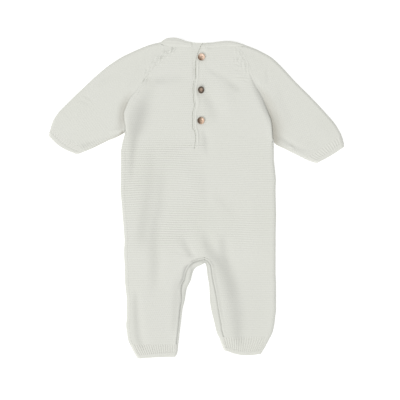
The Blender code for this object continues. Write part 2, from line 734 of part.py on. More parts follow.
def make_romper():
    empty_scene()
    collection = new_collection("baby_romper")
    cutters = new_collection("cutters")
    knit = new_material("body_knit", CREAM, 0.92)
    rib = new_material("rib_knit", CREAM_RIB, 0.92)
    shell = new_material("button_shell", SHELL_BROWN, 0.25)

    make_body(knit, collection)
    make_sleeve("sleeve_left", LEFT, LEFT_UNDERARM, LEFT_SHOULDER, knit, collection)
    make_sleeve("sleeve_right", RIGHT, RIGHT_UNDERARM, RIGHT_SHOULDER, knit, collection)
    make_cuff("sleeve_cuff_left", LEFT_SLEEVE_CUFF, 2, rib, collection)
    make_cuff("sleeve_cuff_right", RIGHT_SLEEVE_CUFF, 2, rib, collection)
    make_cuff("ankle_cuff_left", LEFT_ANKLE_CUFF, 3, rib, collection)
    make_cuff("ankle_cuff_right", RIGHT_ANKLE_CUFF, 3, rib, collection)
    make_neckband(rib, collection)
    make_button_band(rib, collection)
    make_buttonhole_band(rib, collection)
    for name, button in BUTTONS.items():
        make_button(name, button, shell, collection, cutters)


make_romper()
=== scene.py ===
"""Looks of the knitted baby romper: fine cloth over the frame's solids, buttons, light and camera.

Sizes are in millimetres in the frame's axes and become metres when a mesh is made.
"""

from collections import namedtuple
import math

import bmesh
import bpy
import numpy as np
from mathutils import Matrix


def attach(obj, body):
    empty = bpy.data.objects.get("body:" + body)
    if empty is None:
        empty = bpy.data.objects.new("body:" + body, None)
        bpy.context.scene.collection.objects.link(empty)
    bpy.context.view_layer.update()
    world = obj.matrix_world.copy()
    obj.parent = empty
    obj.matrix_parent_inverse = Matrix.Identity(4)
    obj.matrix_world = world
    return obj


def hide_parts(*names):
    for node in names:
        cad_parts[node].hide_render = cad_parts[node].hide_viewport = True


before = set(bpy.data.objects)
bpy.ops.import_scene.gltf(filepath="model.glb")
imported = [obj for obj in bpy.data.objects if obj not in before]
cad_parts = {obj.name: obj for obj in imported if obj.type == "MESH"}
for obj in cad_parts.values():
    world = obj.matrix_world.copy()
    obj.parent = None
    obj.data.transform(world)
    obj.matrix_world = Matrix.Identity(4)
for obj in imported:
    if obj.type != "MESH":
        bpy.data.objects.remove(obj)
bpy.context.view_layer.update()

MM = 0.001

# The cloth, as in the solids.
WALL = 2.6
LOFT = 7.4
RIM = 4.6
ROUNDNESS = 1.6
LOWEST_CREST = 4.8
HIGHEST_CREST = 9.6
FOLD_ANGLES = np.radians(np.linspace(90, -90, 13))

# Knit: garter ridges across the body and sleeves, and ribs on the cuffs.
GARTER_PITCH = 3.65
GARTER_HEIGHT = 0.62
RIDGE_POWER = 0.75
SLEEVE_SHARE = 0.8
RIB_HEIGHT = 0.8
SLEEVE_RIB_SHARE = 0.65
RIB_PITCH = 4.0
CROSSING_PITCH = 2.3
STITCH_HEIGHT = 0.08
BOW_POWER = 0.85
HEM = 7.0
SEAM_GAP = 0.02

PLACKET_LEFT = -7.5
PLACKET_RIGHT = 14.9
PLACKET_FOOT = 79.2
FOOT_STITCHES = (85.1, 76.5)
UNDER_WALL = 1.8
UNDER_TOP = 4.7
UNDER_RIGHT = 12.8
NECKBAND_INSET = 0.3
NECKBAND_RIM = 1.3

CROTCH = (13.3, -103.2)
CROTCH_STRIP = 5.8
LINK_STEP = 3.2
NECK_CENTRE_X = 3.5
LEFT_ANKLE = -233.0
RIGHT_ANKLE = -221.5
UNDERARM_STEP = 0.3

# How finely each stretch is divided. The inside of a wall keeps one row in KEEP and one column
# in KEEP_COLUMNS, and a tube's floor side is made from one column in FLOOR_STEP.
RAGLAN_ROWS = 228
ARMPIT_ROWS = 44
BODY_ROWS = 300
LEG_ROWS = 212
PLACKET_ROW = RAGLAN_ROWS + 1 + ARMPIT_ROWS
PLACKET_ROWS = 281
KEEP = 4
KEEP_COLUMNS = 3
NECK_ROWS = 80
SLEEVE_ROWS = 208
SLEEVE_COLUMNS = 138
STRIP_COLUMNS = 11
SEAM_STEPS = (0, 0.35, 0.8, 1.4, 2.1, 3.0, 4.0, 5.1, 6.3, 7.5, 8.7, 9.9, 11.1, 12.4, 13.8)
EDGE_STEPS = (0, 0.35, 0.8, 1.6, 2.6, 4.0)
HALF_MIDDLE = 22
FRONT_LINES = 5
CENTRE_LINES = 9
POINTS_PER_RIB = 8
FLOOR_STEP = 6
BAND_COLUMNS = 31
NECKBAND_ROWS = 21
NECKBAND_COLUMNS = (45, 40, 53)
CREASE_STEP = 7.0
OUTLINE_STEP = 12

# Powers: how the leg's rows crowd towards the crotch, and how the neck's curve fades downwards.
LEG_CROWDING = 1.1
NECK_FADE = 1.5

# Rows over which a folded edge's inward direction turns from or to the piece's end.
CROTCH_TURN = 8
ANKLE_TURN = 16
SLEEVE_TURN = 24

# Each side of the garment. Rows of height y and place x give the edge, the inner leg and the
# raglan seam. Rows of height y give the width of the strips that the front turns up onto the
# back, and the depth of the raglan seam and of the linking beside the inner leg's seam. Rows of
# place x and height y give the sleeve's edges from body to cuff.
Side = namedtuple("Side", "edge strip inner inner_strip raglan raglan_depth link_depth "
                          "shoulder underarm ankle sign")

LEFT = Side(
    edge=[(106, -114), (86, -119.2), (73, -121.2), (34, -121.3), (15, -121.6), (-10, -119.7),
        (-30, -118.1), (-49, -116.5), (-70, -115.3), (-88, -116.2), (-108, -115), (-132, -114.6),
        (-164, -111.6), (-190, -111.5), (-202, -112.7), (-215, -111.3), (-228, -109.3), (-233, -107)],
    strip=[(106, 0.9), (102, 3.6), (97, 6.2), (86, 7.6), (60, 8), (0, 6.5), (-60, 6), (-130, 6),
        (-233, 5.2)],
    inner=[CROTCH[::-1], (-106.4, 8), (-109, 2), (-112.8, -3), (-119, -6.2), (-132, -9.6),
        (-145, -15.8), (-164, -19), (-177, -22.2), (-202, -25.4), (-228, -28.6), (-233, -29.2)],
    inner_strip=[(CROTCH[1], CROTCH_STRIP), (-109, 8.8), (-125, 9.6), (-139, 9.4), (-150, 7.2),
        (-163, 4.6), (-187, 3.2), (-211, 2.8), (-233, 2.8)],
    raglan=[(106, -114), (115, -113.5), (125, -115.5), (135, -116), (147, -112), (160, -106),
        (173, -95), (190, -84), (205, -71), (221, -58.5), (240.5, -38)],
    raglan_depth=[(106, 0.5), (150, 0.4), (184, 0.22), (204, 0.05), (240, 0.03)],
    link_depth=[(-150, 0), (-138, 0.8), (-103, 0.8)],
    shoulder=[(-57, 250), (-73.8, 246), (-91.4, 239.3), (-105.8, 232.9), (-118.8, 226.6),
        (-138.3, 214.1), (-154.4, 201.4), (-182.7, 175.3), (-208.7, 150), (-221.3, 137),
        (-229.3, 124.5), (-233.4, 113)],
    underarm=[(-114, 106), (-126.2, 98.6), (-142.2, 92), (-155, 85.6), (-167.8, 79.4), (-177, 75.5)],
    ankle=LEFT_ANKLE, sign=-1)
RIGHT = Side(
    edge=[(90.5, 123.2), (80, 123.7), (66, 123.7), (50, 125), (28, 127), (15, 126.5), (-30, 127.3),
        (-55, 126.7), (-119, 126.5), (-140, 127.3), (-177, 127.3), (-190, 125.9), (-202, 124.5),
        (-215, 121.5), (-221.5, 118.6)],
    strip=[(91, 0.9), (87, 3.2), (82, 4.8), (72, 5.4), (-60, 5), (-222, 5)],
    inner=[CROTCH[::-1], (-106.4, 15.2), (-113, 16.2), (-122, 17.2), (-145, 20.5), (-164, 21.2),
        (-177, 23.2), (-202, 29.2), (-215, 32.3), (-221.5, 35.5)],
    inner_strip=[(CROTCH[1], CROTCH_STRIP), (-112, 7.6), (-136, 8), (-146, 9.2), (-156, 10.8),
        (-166, 11.8), (-180, 11.6), (-192, 10.8), (-208, 9.8), (-222, 8.4)],
    raglan=[(90.5, 123.2), (98, 121.5), (109, 121), (125, 119), (138, 114.5), (150, 110), (162, 105),
        (173, 98.5), (184, 92), (197, 86), (211, 81), (226, 74), (242, 62)],
    raglan_depth=[(90, 0.6), (130, 0.55), (150, 0.5), (172, 0.3), (192, 0.06), (242, 0.03)],
    link_depth=[(-196, 0), (-184, 0.7), (-103, 0.7)],
    shoulder=[(77, 245.8), (94.6, 239.2), (107.4, 232.8), (118.6, 226.4), (126.6, 220), (139.4, 207.2),
        (157, 188), (182.6, 162.4), (206.6, 136.8), (222.6, 117.8), (231.6, 102.4)],
    underarm=[(123.2, 90.5), (127.8, 85.8), (140.6, 79.2), (153.4, 72.8), (173.6, 62.6)],
    ankle=RIGHT_ANKLE, sign=1)

# The neck seam and the neckband's upper edge, as rows of place x and height y.
NECK_SEAM = [(-57, 250), (-55.6, 246.2), (-47, 243), (-38, 240.5), (-24, 241), (-8, 241), (5, 240.3),
    (20, 240.3), (36, 241.5), (50, 242.3), (62, 242), (70, 242.8), (75.6, 242), (77, 245.8)]
NECK_EDGE = [(-57, 250), (-52, 253.8), (-45, 256.6), (-36, 257), (-26, 255), (-14, 251), (5, 248.6),
    (20, 248.8), (36, 250.8), (50, 251.8), (60, 250.6), (77, 245.9)]

# The wavy edge of the upper placket band, as rows of height y and place x.
OVERLAP_EDGE = [(80, -3.2), (96, -1.1), (106, -2.4), (114, -6.0), (135, -6.0), (149, -3.2), (158, -4.6),
    (177, -5.2), (188, -3.2), (193, -1.4), (216, -1.2), (228, 1.4), (235, 3.6), (242.7, 7), (248, 10.2)]

# Each cuff from its seam to its edge: the two sides, how far the edge bows outwards, and the
# size of the cut, all round and along the ribs, in metres.
Cuff = namedtuple("Cuff", "side_a side_b bow ribs rows flat")
CUFFS = {
    "sleeve_cuff_left": Cuff(
        side_a=[(-177, 75.5), (-185, 72.2), (-193.5, 70.6)],
        side_b=[(-233.4, 113), (-235.5, 106), (-235.8, 98.6)],
        bow=3.4, ribs=13, rows=28, flat=(0.12, 0.019)),
    "sleeve_cuff_right": Cuff(
        side_a=[(173.6, 62.6), (182.4, 58.6), (193.4, 56.4)],
        side_b=[(231.6, 102.4), (235, 92), (236, 82.2)],
        bow=1.0, ribs=13, rows=28, flat=(0.12, 0.021)),
    "ankle_cuff_left": Cuff(
        side_a=[(-107, LEFT_ANKLE), (-101.2, -244.5), (-94, -256)],
        side_b=[(-29.2, LEFT_ANKLE), (-30.2, -244), (-33.6, -253.2)],
        bow=-0.5, ribs=18, rows=40, flat=(0.15, 0.025)),
    "ankle_cuff_right": Cuff(
        side_a=[(118.6, RIGHT_ANKLE), (111.6, -234), (102.5, -249.5)],
        side_b=[(35.5, RIGHT_ANKLE), (39.8, -233), (44.8, -243.6)],
        bow=4.0, ribs=18, rows=40, flat=(0.15, 0.028)),
}

# Creases of the upper layer, each on the whole garment or on one kind of piece. The rows go
# along it, with its place, its height (below nothing in a trough) and its half width there.
Fold = namedtuple("Fold", "cloth rows")
FOLDS = [
    # Beside the left underarm: a ridge on the body, and the broad trough inside it.
    Fold("body", [(-98, 160, 0, 4), (-107, 142, 0.5, 4), (-109.5, 126, 1.0, 4.5), (-109, 108, 1.0, 4),
        (-111, 88, 0.7, 4), (-112, 70, 0, 4)]),
    Fold("body", [(-62, 190, 0, 7), (-72, 175, -1.0, 10), (-82, 154, -1.8, 12), (-88, 136, -2.4, 13),
        (-93, 116, -2.5, 10), (-97, 98, -2.1, 7), (-99.5, 78, -1.7, 5.5), (-102, 52, -1.2, 5),
        (-103, 26, 0, 4)]),
    # The long soft trough down the left of the body, and the one beside it.
    Fold("body", [(-72, 84, 0, 8), (-71, 62, -0.6, 9), (-72, 30, -1.0, 9.5), (-76, -4, -1.3, 9.5),
        (-81, -30, -1.6, 9.5), (-85, -54, -1.5, 9), (-87, -80, 0, 8)]),
    Fold("body", [(-52, 60, 0, 7), (-54, 30, -0.9, 8), (-57, -4, -1.2, 8), (-64, -38, -1.5, 8.5),
        (-67, -68, -1.7, 9), (-65.5, -98, -1.7, 8.5), (-66, -124, -1.2, 8), (-70, -156, 0, 7)]),
    Fold("body", [(-97, 60, 0, 8), (-96, 0, 0.5, 8), (-100, -60, 0, 8)]),
    Fold("body", [(-44, -70, 0, 10), (-44, -130, 0.4, 12), (-56, -200, 0, 10)]),
    # The left leg's outer trough.
    Fold("body", [(-96, -142, 0, 4), (-95.5, -168, -1.4, 5), (-94, -200, -1.6, 5.5),
        (-91, -222, -1.5, 6), (-80, -244, 0, 5)]),
    Fold("body", [(-84, -160, 0, 7), (-78, -200, 0.25, 8), (-74, -226, 0, 8)]),
    # The right leg's deep trough, which starts as two.
    Fold("body", [(12, -48, 0, 6), (19, -72, -1.8, 8), (28, -88, -2.3, 9), (42, -104, -2.4, 10.5),
        (50, -120, -2.4, 12), (58, -142, -2.5, 13), (64, -168, -2.5, 12.5), (68, -196, -2.4, 11),
        (69, -218, -1.9, 9), (70, -234, 0, 7)]),
    Fold("body", [(43, -54, 0, 6), (44, -76, -1.8, 7), (46, -96, -1.6, 7), (49, -112, 0, 5)]),
    # Short creases at the crotch.
    Fold("body", [(-27, -54, 0, 4), (-21, -66, -0.9, 5), (-14, -80, -1.8, 4.5), (-8, -91, -2.1, 3.4),
        (-5, -96, 0, 3)]),
    Fold("body", [(-44, -82, 0, 3), (-28, -86, -0.35, 3), (-14, -92, 0, 3)]),
    Fold("all", [(9.5, -101, 0, 1.6), (12, -101.4, -1.6, 2.0), (15.6, -101.2, -2.0, 2.0),
        (17.5, -102.5, 0, 1.6)]),
    # Down from the placket and across the belly.
    Fold("body", [(6, 62, 0, 6), (11, 36, -0.3, 8), (14, 14, -0.45, 8), (16, -8, 0, 7)]),
    Fold("body", [(-26, 66, 0, 8), (-14, 36, 0.5, 9), (-4, 4, 0, 8)]),
    Fold("body", [(18, 18, 0, 5), (28, 0, 0.45, 6), (40, -22, 0, 6)]),
    Fold("body", [(34, 6, 0, 6), (46, -8, -0.5, 8), (60, -28, 0, 7)]),
    Fold("body", [(-12, -30, 0, 8), (-2, -60, 0.6, 8), (10, -92, 0, 6)]),
    # Beside the buttons.
    Fold("all", [(10, 172, 0, 5), (20, 156, -1.2, 8), (27, 140, -1.0, 8), (32, 122, 0, 7)]),
    Fold("all", [(11, 114, 0, 3), (14, 98, -1.3, 5.5), (16, 84, -0.9, 5.5), (17, 66, 0, 4)]),
    Fold("body", [(13, 214, 0, 4), (28, 202, -0.6, 5), (46, 192, -0.6, 6), (62, 179, -1.3, 6.5),
        (72, 174, 0, 5)]),
    Fold("body", [(30, 192, 0, 9), (48, 158, 1.0, 12), (62, 118, 0, 10)]),
    # The corner of the upper band, turned up a little, and the lines inside its rolled edge.
    Fold("all", [(12, 244, 0, 3), (15, 240, 1.2, 5), (16, 232, 0, 4)]),
    Fold("all", [(0.8, 170, 0, 1.6), (3.5, 154, 1.0, 1.8), (1.6, 138, 0, 1.6)]),
    Fold("all", [(0.4, 114, 0, 1.5), (1.8, 99, 0.9, 1.7), (1, 84, 0, 1.5)]),
    Fold("all", [(1.4, 216, 0, 1.5), (2, 204, 0.5, 1.6), (2.2, 192, 0, 1.5)]),
    # Across the top of the left chest.
    Fold("body", [(-10, 194, 0, 7), (-30, 193, -0.6, 8), (-44, 192, -0.8, 8), (-57, 190, -1.3, 7),
        (-68, 189, -0.5, 7), (-81, 190, -1.1, 6), (-88, 186, 0, 5)]),
    # The valleys along the raglan seams, on both sides of the right one's upper part.
    Fold("sleeve", [(-100, 172, 0, 4), (-108, 160, -0.9, 4.5), (-115, 146, -1.4, 5.5),
        (-118, 132, -1.5, 6), (-118, 118, -1.2, 6), (-119, 110, 0, 5)]),
    Fold("all", [(86, 199, 0, 3), (91, 188, -1.0, 4), (97, 177, -2.0, 5), (104, 164, -2.3, 5.5),
        (110, 151, -2.3, 5.5), (115, 138, -1.8, 5), (118, 126, -0.8, 5), (119, 116, 0, 5)]),
    Fold("sleeve", [(112, 152, 0, 6), (118, 140, -1.2, 7.5), (123, 128, -2.0, 9),
        (125, 114, -2.4, 10.5), (127, 98, -2.4, 10), (128, 84, -2.0, 8.5)]),
    Fold("body", [(112, 138, 0, 5), (115, 122, 0.5, 5), (118, 104, 0.5, 5), (119, 86, 0, 5)]),
    # The sleeves' underarm seams and corners, and their faint creases.
    Fold("sleeve", [(-119, 110, 0, 2), (-124, 109, 0.8, 2.6), (-132, 107.5, 0.7, 2.6),
        (-140, 105.5, 0, 2.5)]),
    Fold("sleeve", [(-120, 104, -0.8, 2.5), (-134, 100, -0.3, 2.5), (-150, 96, -0.25, 3),
        (-164, 92, -0.7, 3.4), (-176, 87, -1.2, 4), (-186, 82, 0, 3.5)]),
    Fold("sleeve", [(-113, 106, -2.2, 2.5), (-116, 103, -1.4, 2.5), (-121, 101, 0, 2)]),
    Fold("sleeve", [(134, 98, -0.9, 4), (150, 88, -1.0, 4), (164, 80, -0.7, 4), (176, 77, -0.3, 4),
        (188, 75, 0, 4)]),
    Fold("sleeve", [(146, 84.5, 0, 2), (151, 82.5, 1.0, 1.8), (157, 79.5, 0, 2)]),
    Fold("sleeve", [(-128, 205, 0, 7), (-146, 190, -0.45, 7), (-158, 180, 0, 6)]),
    Fold("sleeve", [(-184, 164, 0, 3), (-173, 161, -0.5, 3), (-164, 152, 0, 3)]),
    Fold("sleeve", [(-190, 158, 0, 3), (-178, 154, -0.4, 3), (-168, 146, 0, 3)]),
    Fold("sleeve", [(132, 188, 0, 6), (136, 160, -0.4, 7), (148, 134, -0.4, 7), (152, 118, 0, 6)]),
    Fold("sleeve", [(112, 212, 0, 3), (114, 194, -0.5, 3.5), (112, 182, 0, 3)]),
    Fold("sleeve", [(180, 130, 0, 12), (204, 104, 0.5, 14), (212, 92, 0, 10)]),
    Fold("sleeve", [(-160, 150, 0, 12), (-186, 128, 0.4, 14), (-200, 112, 0, 12)]),
    Fold("body", [(86, 40, 0, 14), (92, -40, 0.6, 15), (92, -130, 0, 14)]),
]

# The knitter's marks beside the raglan seams: place x and y, angle, length and depth.
MARKS = [(-38.6, 236.8, 60, 9, 0.8), (-45.6, 230.6, 56, 8, 0.5), (-50.8, 234, 74, 7, 0.42),
    (-55, 225, 62, 8, 0.5), (-60.6, 222.8, 66, 8, 0.42), (-57.6, 217, 50, 6, 0.36),
    (-69.6, 218, 45, 7, 0.36), (-66, 213, 60, 6, 0.28), (-73.4, 208, 74, 8, 0.24),
    (-80.6, 201, 60, 7, 0.34), (-77.6, 191, 68, 9, 0.38), (-84, 188, 62, 7, 0.26),
    (-86.6, 179.6, 56, 12, 0.3), (-92, 168.6, 58, 10, 0.24), (-99, 158.6, 62, 8, 0.2),
    (79.6, 208, 97, 15, 0.32), (74, 220.6, 64, 8, 0.32), (66.6, 221.4, 84, 7, 0.32),
    (60.8, 220.4, 76, 6, 0.26), (66, 213.4, 160, 7, 0.26), (65, 234, 100, 7, 0.24),
    (69.6, 230, 70, 7, 0.2), (72.6, 211.6, 96, 8, 0.2), (63, 205.6, 165, 6, 0.18),
    (69, 194.2, 178, 14, 0.16), (79, 187.6, 168, 9, 0.16)]

# Hollows under the garment, which rests on the rest of its underside.
HOLLOWS = [
    Fold("all", [(-60, 160, 0, 7), (-42, 100, 0.9, 9), (-46, 20, 0, 8)]),
    Fold("all", [(40, 180, 0, 6), (60, 130, 0.7, 7), (58, 60, 0, 6)]),
    Fold("all", [(10, -10, 0, 7), (-26, -60, 0.8, 8), (-60, -130, 0, 7)]),
    Fold("all", [(50, -60, 0, 7), (74, -130, 0.8, 8), (84, -200, 0, 7)]),
    Fold("all", [(-150, 170, 0, 6), (-170, 142, 0.6, 6), (-184, 120, 0, 5)]),
    Fold("all", [(142, 160, 0, 6), (164, 138, 0.6, 6), (184, 116, 0, 5)]),
]

# Where shade is painted on the cloth, brown on the sleeves and only dark on the body: beside the
# underarms and the raglan seams, along the inner legs' seams and edges, in the deepest trough, and
# faintly over the legs. The rows are those of a fold, with the shade as height.
SHADED = [
    Fold("sleeve", [(-101, 170, 0, 5), (-111, 158, 0.3, 6), (-117, 144, 0.5, 7), (-118, 130, 0.5, 7),
        (-119, 116, 0.35, 7), (-122, 108, 0, 6)]),
    Fold("sleeve", [(-108, 158, 0, 2.5), (-112.5, 150, 0.7, 3), (-116.5, 138, 0.6, 3),
        (-118, 126, 0.6, 3), (-118.5, 116, 0.3, 3), (-118, 110, 0, 3)]),
    Fold("sleeve", [(-119, 110, 0, 2), (-116, 107, 2.0, 2.6), (-118, 104, 2.0, 2.6),
        (-121, 102, 1.0, 2), (-126, 99.8, 0.5, 1.7), (-142, 93, 0.35, 1.5), (-160, 84.5, 0.3, 1.5),
        (-178, 76.5, 0, 1.4)]),
    Fold("sleeve", [(97, 182, 0, 3), (104, 171, 0.3, 5), (112, 158, 0.5, 7), (119, 144, 0.5, 8.5),
        (124, 128, 0.55, 11), (126, 112, 0.6, 13), (126, 96, 0.6, 12), (126, 84, 0.5, 8)]),
    Fold("sleeve", [(103, 168, 0, 2.5), (110, 154, 0.7, 3.5), (117, 138, 0.85, 4.5),
        (122, 122, 0.95, 6), (125, 106, 1.0, 7.5), (126, 92, 1.0, 7), (127, 85, 0.8, 5)]),
    Fold("sleeve", [(124, 90, 0.8, 2.5), (134, 84, 0.4, 1.8), (146, 78, 0.2, 1.5), (160, 70, 0, 1.4)]),
    Fold("body", [(-80, 160, 0, 8), (-88, 138, 0.3, 12), (-93, 116, 0.3, 11), (-98, 96, 0.2, 7),
        (-101, 70, 0, 5)]),
    Fold("body", [(86, 200, 0, 4), (94, 184, 0.2, 5), (103, 168, 0.35, 6), (112, 148, 0.5, 6),
        (117, 130, 0.4, 5), (121, 110, 0.3, 3), (122, 96, 0, 3)]),
    Fold("body", [(-12, -105, 0, 2.4), (-18, -110, 0.5, 2.6), (-20.5, -122, 0.8, 2.8),
        (-22.5, -132, 0.7, 2.8), (-25, -145, 0.7, 2.6), (-26, -160, 0.7, 2.4), (-27.5, -178, 0.7, 2.2),
        (-29, -192, 0.5, 2), (-31, -206, 0.3, 1.8), (-33, -222, 0, 1.6)]),
    Fold("body", [(-24, -118, 0, 6), (-30, -138, 0.3, 7), (-33, -160, 0.4, 7), (-34, -184, 0.4, 7),
        (-36, -203, 0.3, 6), (-38, -222, 0, 5)]),
    Fold("body", [(-12, -130, 0, 3), (-8, -117, 0.5, 2.6), (-9.5, -106, 0.6, 2.4),
        (0, -101.5, 0.4, 2.2), (8, -101, 0.5, 2.2), (13, -101, 0.9, 2.6), (16.5, -106, 0.6, 2.2),
        (18, -116, 0.5, 2.2), (20, -132, 0.4, 2.2), (21.5, -152, 0.35, 2.2), (23.5, -172, 0.3, 2.2),
        (29, -196, 0.25, 2.2), (34, -218, 0, 2)]),
    Fold("body", [(38, -84, 0, 10), (50, -112, 0.25, 10), (58, -142, 0.25, 11), (64, -168, 0, 10)]),
    Fold("body", [(60, -110, 0, 24), (84, -150, 0.12, 28), (90, -200, 0.12, 26), (88, -240, 0, 20)]),
    Fold("body", [(-60, -130, 0, 24), (-60, -170, 0.12, 28), (-58, -235, 0.1, 28)]),
]


# Curves.

def through(rows):
    """A smooth function through rows of (place, value), which never overshoots them."""
    place, value = np.array(sorted(rows), float).T
    step = np.diff(place)
    slope = np.diff(value) / step
    before, after = slope[:-1], slope[1:]
    same_way = before * after > 0
    total = np.where(same_way, before + after, 1.0)
    tangent = np.where(same_way, 2 * before * after / total, 0.0)
    tangent = np.concatenate([slope[:1], tangent, slope[-1:]])

    def at(where):
        where = np.clip(where, place[0], place[-1])
        i = np.clip(np.searchsorted(place, where) - 1, 0, len(step) - 1)
        u = (where - place[i]) / step[i]
        rise = value[i] + (value[i + 1] - value[i]) * u * u * (3 - 2 * u)
        bend = u * (1 - u) * ((1 - u) * (tangent[i] * step[i]) - u * (tangent[i + 1] * step[i]))
        return rise + bend
    return at


def length_to(line):
    """The length along a line of points, up to each of them."""
    return np.concatenate([[0], np.cumsum(np.hypot(*np.diff(line[:, :2], axis=0).T))])


def along(rows, count=None):
    """Rows at equal shares of the length of a smooth line through the given ones."""
    rows = np.array(rows, float)
    length = length_to(rows)
    count = count or max(2, int(length[-1] / CREASE_STEP)) + 1
    places = np.linspace(0, length[-1], count)
    return np.stack([through(zip(length, column))(places) for column in rows.T], axis=-1)


def at_heights(rows, y):
    """Points at heights y on a line given as rows of height and place."""
    return np.stack([through(rows)(y), y], axis=-1)


def unit(vectors):
    return vectors / np.linalg.norm(vectors, axis=-1, keepdims=True)


def left_normals(points):
    """Unit vectors to the left of the way that the line of points runs."""
    way = unit(np.gradient(points, axis=0))
    return np.stack([-way[:, 1], way[:, 0]], axis=-1)


def turned(vectors, way, rows):
    """Unit vectors which start out in a given way and leave it over the first rows."""
    turn = np.clip(np.arange(len(vectors)) / rows, 0, 1)[:, None]
    return unit(vectors * turn + np.array(way) * (1 - turn))


def turned_at_end(vectors, way, rows):
    return turned(vectors[::-1], way, rows)[::-1]


def between(first, last, count):
    """The given number of points between two points or rows of points, without the ends."""
    return [first + (last - first) * share for share in np.linspace(0, 1, count + 2)[1:-1]]


def thin(line, step):
    """Every so many points of a line, with its last one."""
    return np.concatenate([line[:-1:step], line[-1:]])


def bell(distance, width):
    return np.exp(-(distance / width) ** 2)


def smooth(share):
    share = np.clip(share, 0, 1)
    return share * share * (3 - 2 * share)


def beside(points, rows):
    """The further two columns of a line's rows and the distance, from points to each stretch."""
    start, run = rows[:-1], np.diff(rows, axis=0)
    offset = points[..., None, :] - start[:, :2]
    share = np.clip((offset * run[:, :2]).sum(-1) / (run[:, :2] ** 2).sum(-1), 0, 1)
    distance = np.linalg.norm(offset - share[..., None] * run[:, :2], axis=-1)
    return start[:, 2] + run[:, 2] * share, start[:, 3] + run[:, 3] * share, distance


def take(values, number):
    """Of each point's values, the one with the given number."""
    return np.take_along_axis(values, number[..., None], -1)[..., 0]


def swell(points, rows):
    """Height of one crease at points, from the stretch of it that tells most there."""
    height, width, distance = beside(points, rows)
    height = height * bell(distance, width)
    return take(height, np.abs(height).argmax(-1))


# The garment's plan.

def raglan_points(side, gap=0.0):
    """Points down a raglan seam from the neck to the underarm, moved a gap to the sleeve."""
    low, high = side.raglan[0][0], side.raglan[-1][0]
    y = np.linspace(high, low + UNDERARM_STEP, RAGLAN_ROWS + 1)
    return at_heights(side.raglan, y) + (side.sign * gap, 0)


def body_edge(side):
    """Points down a side edge from the underarm to the level of the crotch."""
    underarm = side.edge[0][0] - UNDERARM_STEP
    armpit = np.linspace(underarm, PLACKET_FOOT, ARMPIT_ROWS + 1)
    body = np.linspace(PLACKET_FOOT, CROTCH[1], BODY_ROWS + 1)[1:]
    return at_heights(side.edge, np.concatenate([armpit, body]))


def leg_edges(side):
    """The leg's outer and inner edge, with unit vectors from the inner one into the cloth."""
    share = np.linspace(0, 1, LEG_ROWS + 1) ** LEG_CROWDING
    y = CROTCH[1] + (side.ankle + SEAM_GAP - CROTCH[1]) * share
    inner = at_heights(side.inner, y)
    inward = turned(side.sign * left_normals(inner), (0, 1), CROTCH_TURN)
    return at_heights(side.edge, y), inner, turned_at_end(inward, (side.sign, 0), ANKLE_TURN)


def side_edge(side):
    """The whole side edge from underarm to ankle, and unit vectors into the cloth."""
    edge = np.concatenate([body_edge(side), leg_edges(side)[0][1:]])
    inward = -side.sign * left_normals(edge)
    return edge, turned_at_end(inward, (-side.sign, 0), ANKLE_TURN)


def strip_seam(strip, edge, inward, gap):
    """Where the strip turned up over an edge ends on the upper face, and a gap beyond it."""
    return edge + (through(strip)(edge[:, 1])[:, None] + gap) * inward


def side_seam(side, gap):
    return strip_seam(side.strip, *side_edge(side), gap)


def inner_seam(side, gap):
    return strip_seam(side.inner_strip, *leg_edges(side)[1:], gap)


def neck_row(x):
    return through(NECK_SEAM)(x) - SEAM_GAP


def follow_neck(column):
    """Move a column's top rows so that the first lies on the curve of the neck seam."""
    share = np.clip(1 - np.arange(len(column)) / NECK_ROWS, 0, 1) ** NECK_FADE
    rise = neck_row(column[0, 0]) - column[0, 1]
    return column + np.outer(share, (0, rise))


OUTLINE = [thin(side_edge(side)[0], OUTLINE_STEP) for side in (LEFT, RIGHT)]
OUTLINE += [thin(leg_edges(side)[1], OUTLINE_STEP) for side in (LEFT, RIGHT)]
OUTLINE += [np.array(side.underarm, float) for side in (LEFT, RIGHT)]


def step_from_outline(points):
    """The step to each point from the nearest place on the outline, and its length."""
    step, least = np.zeros(points.shape), np.full(points.shape[:-1], np.inf)
    for line in OUTLINE:
        for start, end in zip(line[:-1], line[1:]):
            run = end - start
            share = np.clip(((points - start) @ run) / (run @ run), 0, 1)
            offset = points - start - share[..., None] * run
            length = np.linalg.norm(offset, axis=-1)
            nearer = length < least
            least = np.where(nearer, length, least)
            step = np.where(nearer[..., None], offset, step)
    return step, least


# Seams and stitched lines on the upper side. Each row of a seam has its place, the depth of
# its groove and the height of the welts beside it, which lie a fixed step off the line.
Seam = namedtuple("Seam", "cloth rows width offset")


def seam_along(cloth, line, depth, welt, width, offset):
    """A seam along a line. Its depth is a number, or rows of height y and depth."""
    line = np.array(line, float)
    depths = through(depth)(line[:, 1]) if isinstance(depth, list) else np.full(len(line), depth)
    return Seam(cloth, np.column_stack([line, depths, np.full(len(line), welt)]), width, offset)


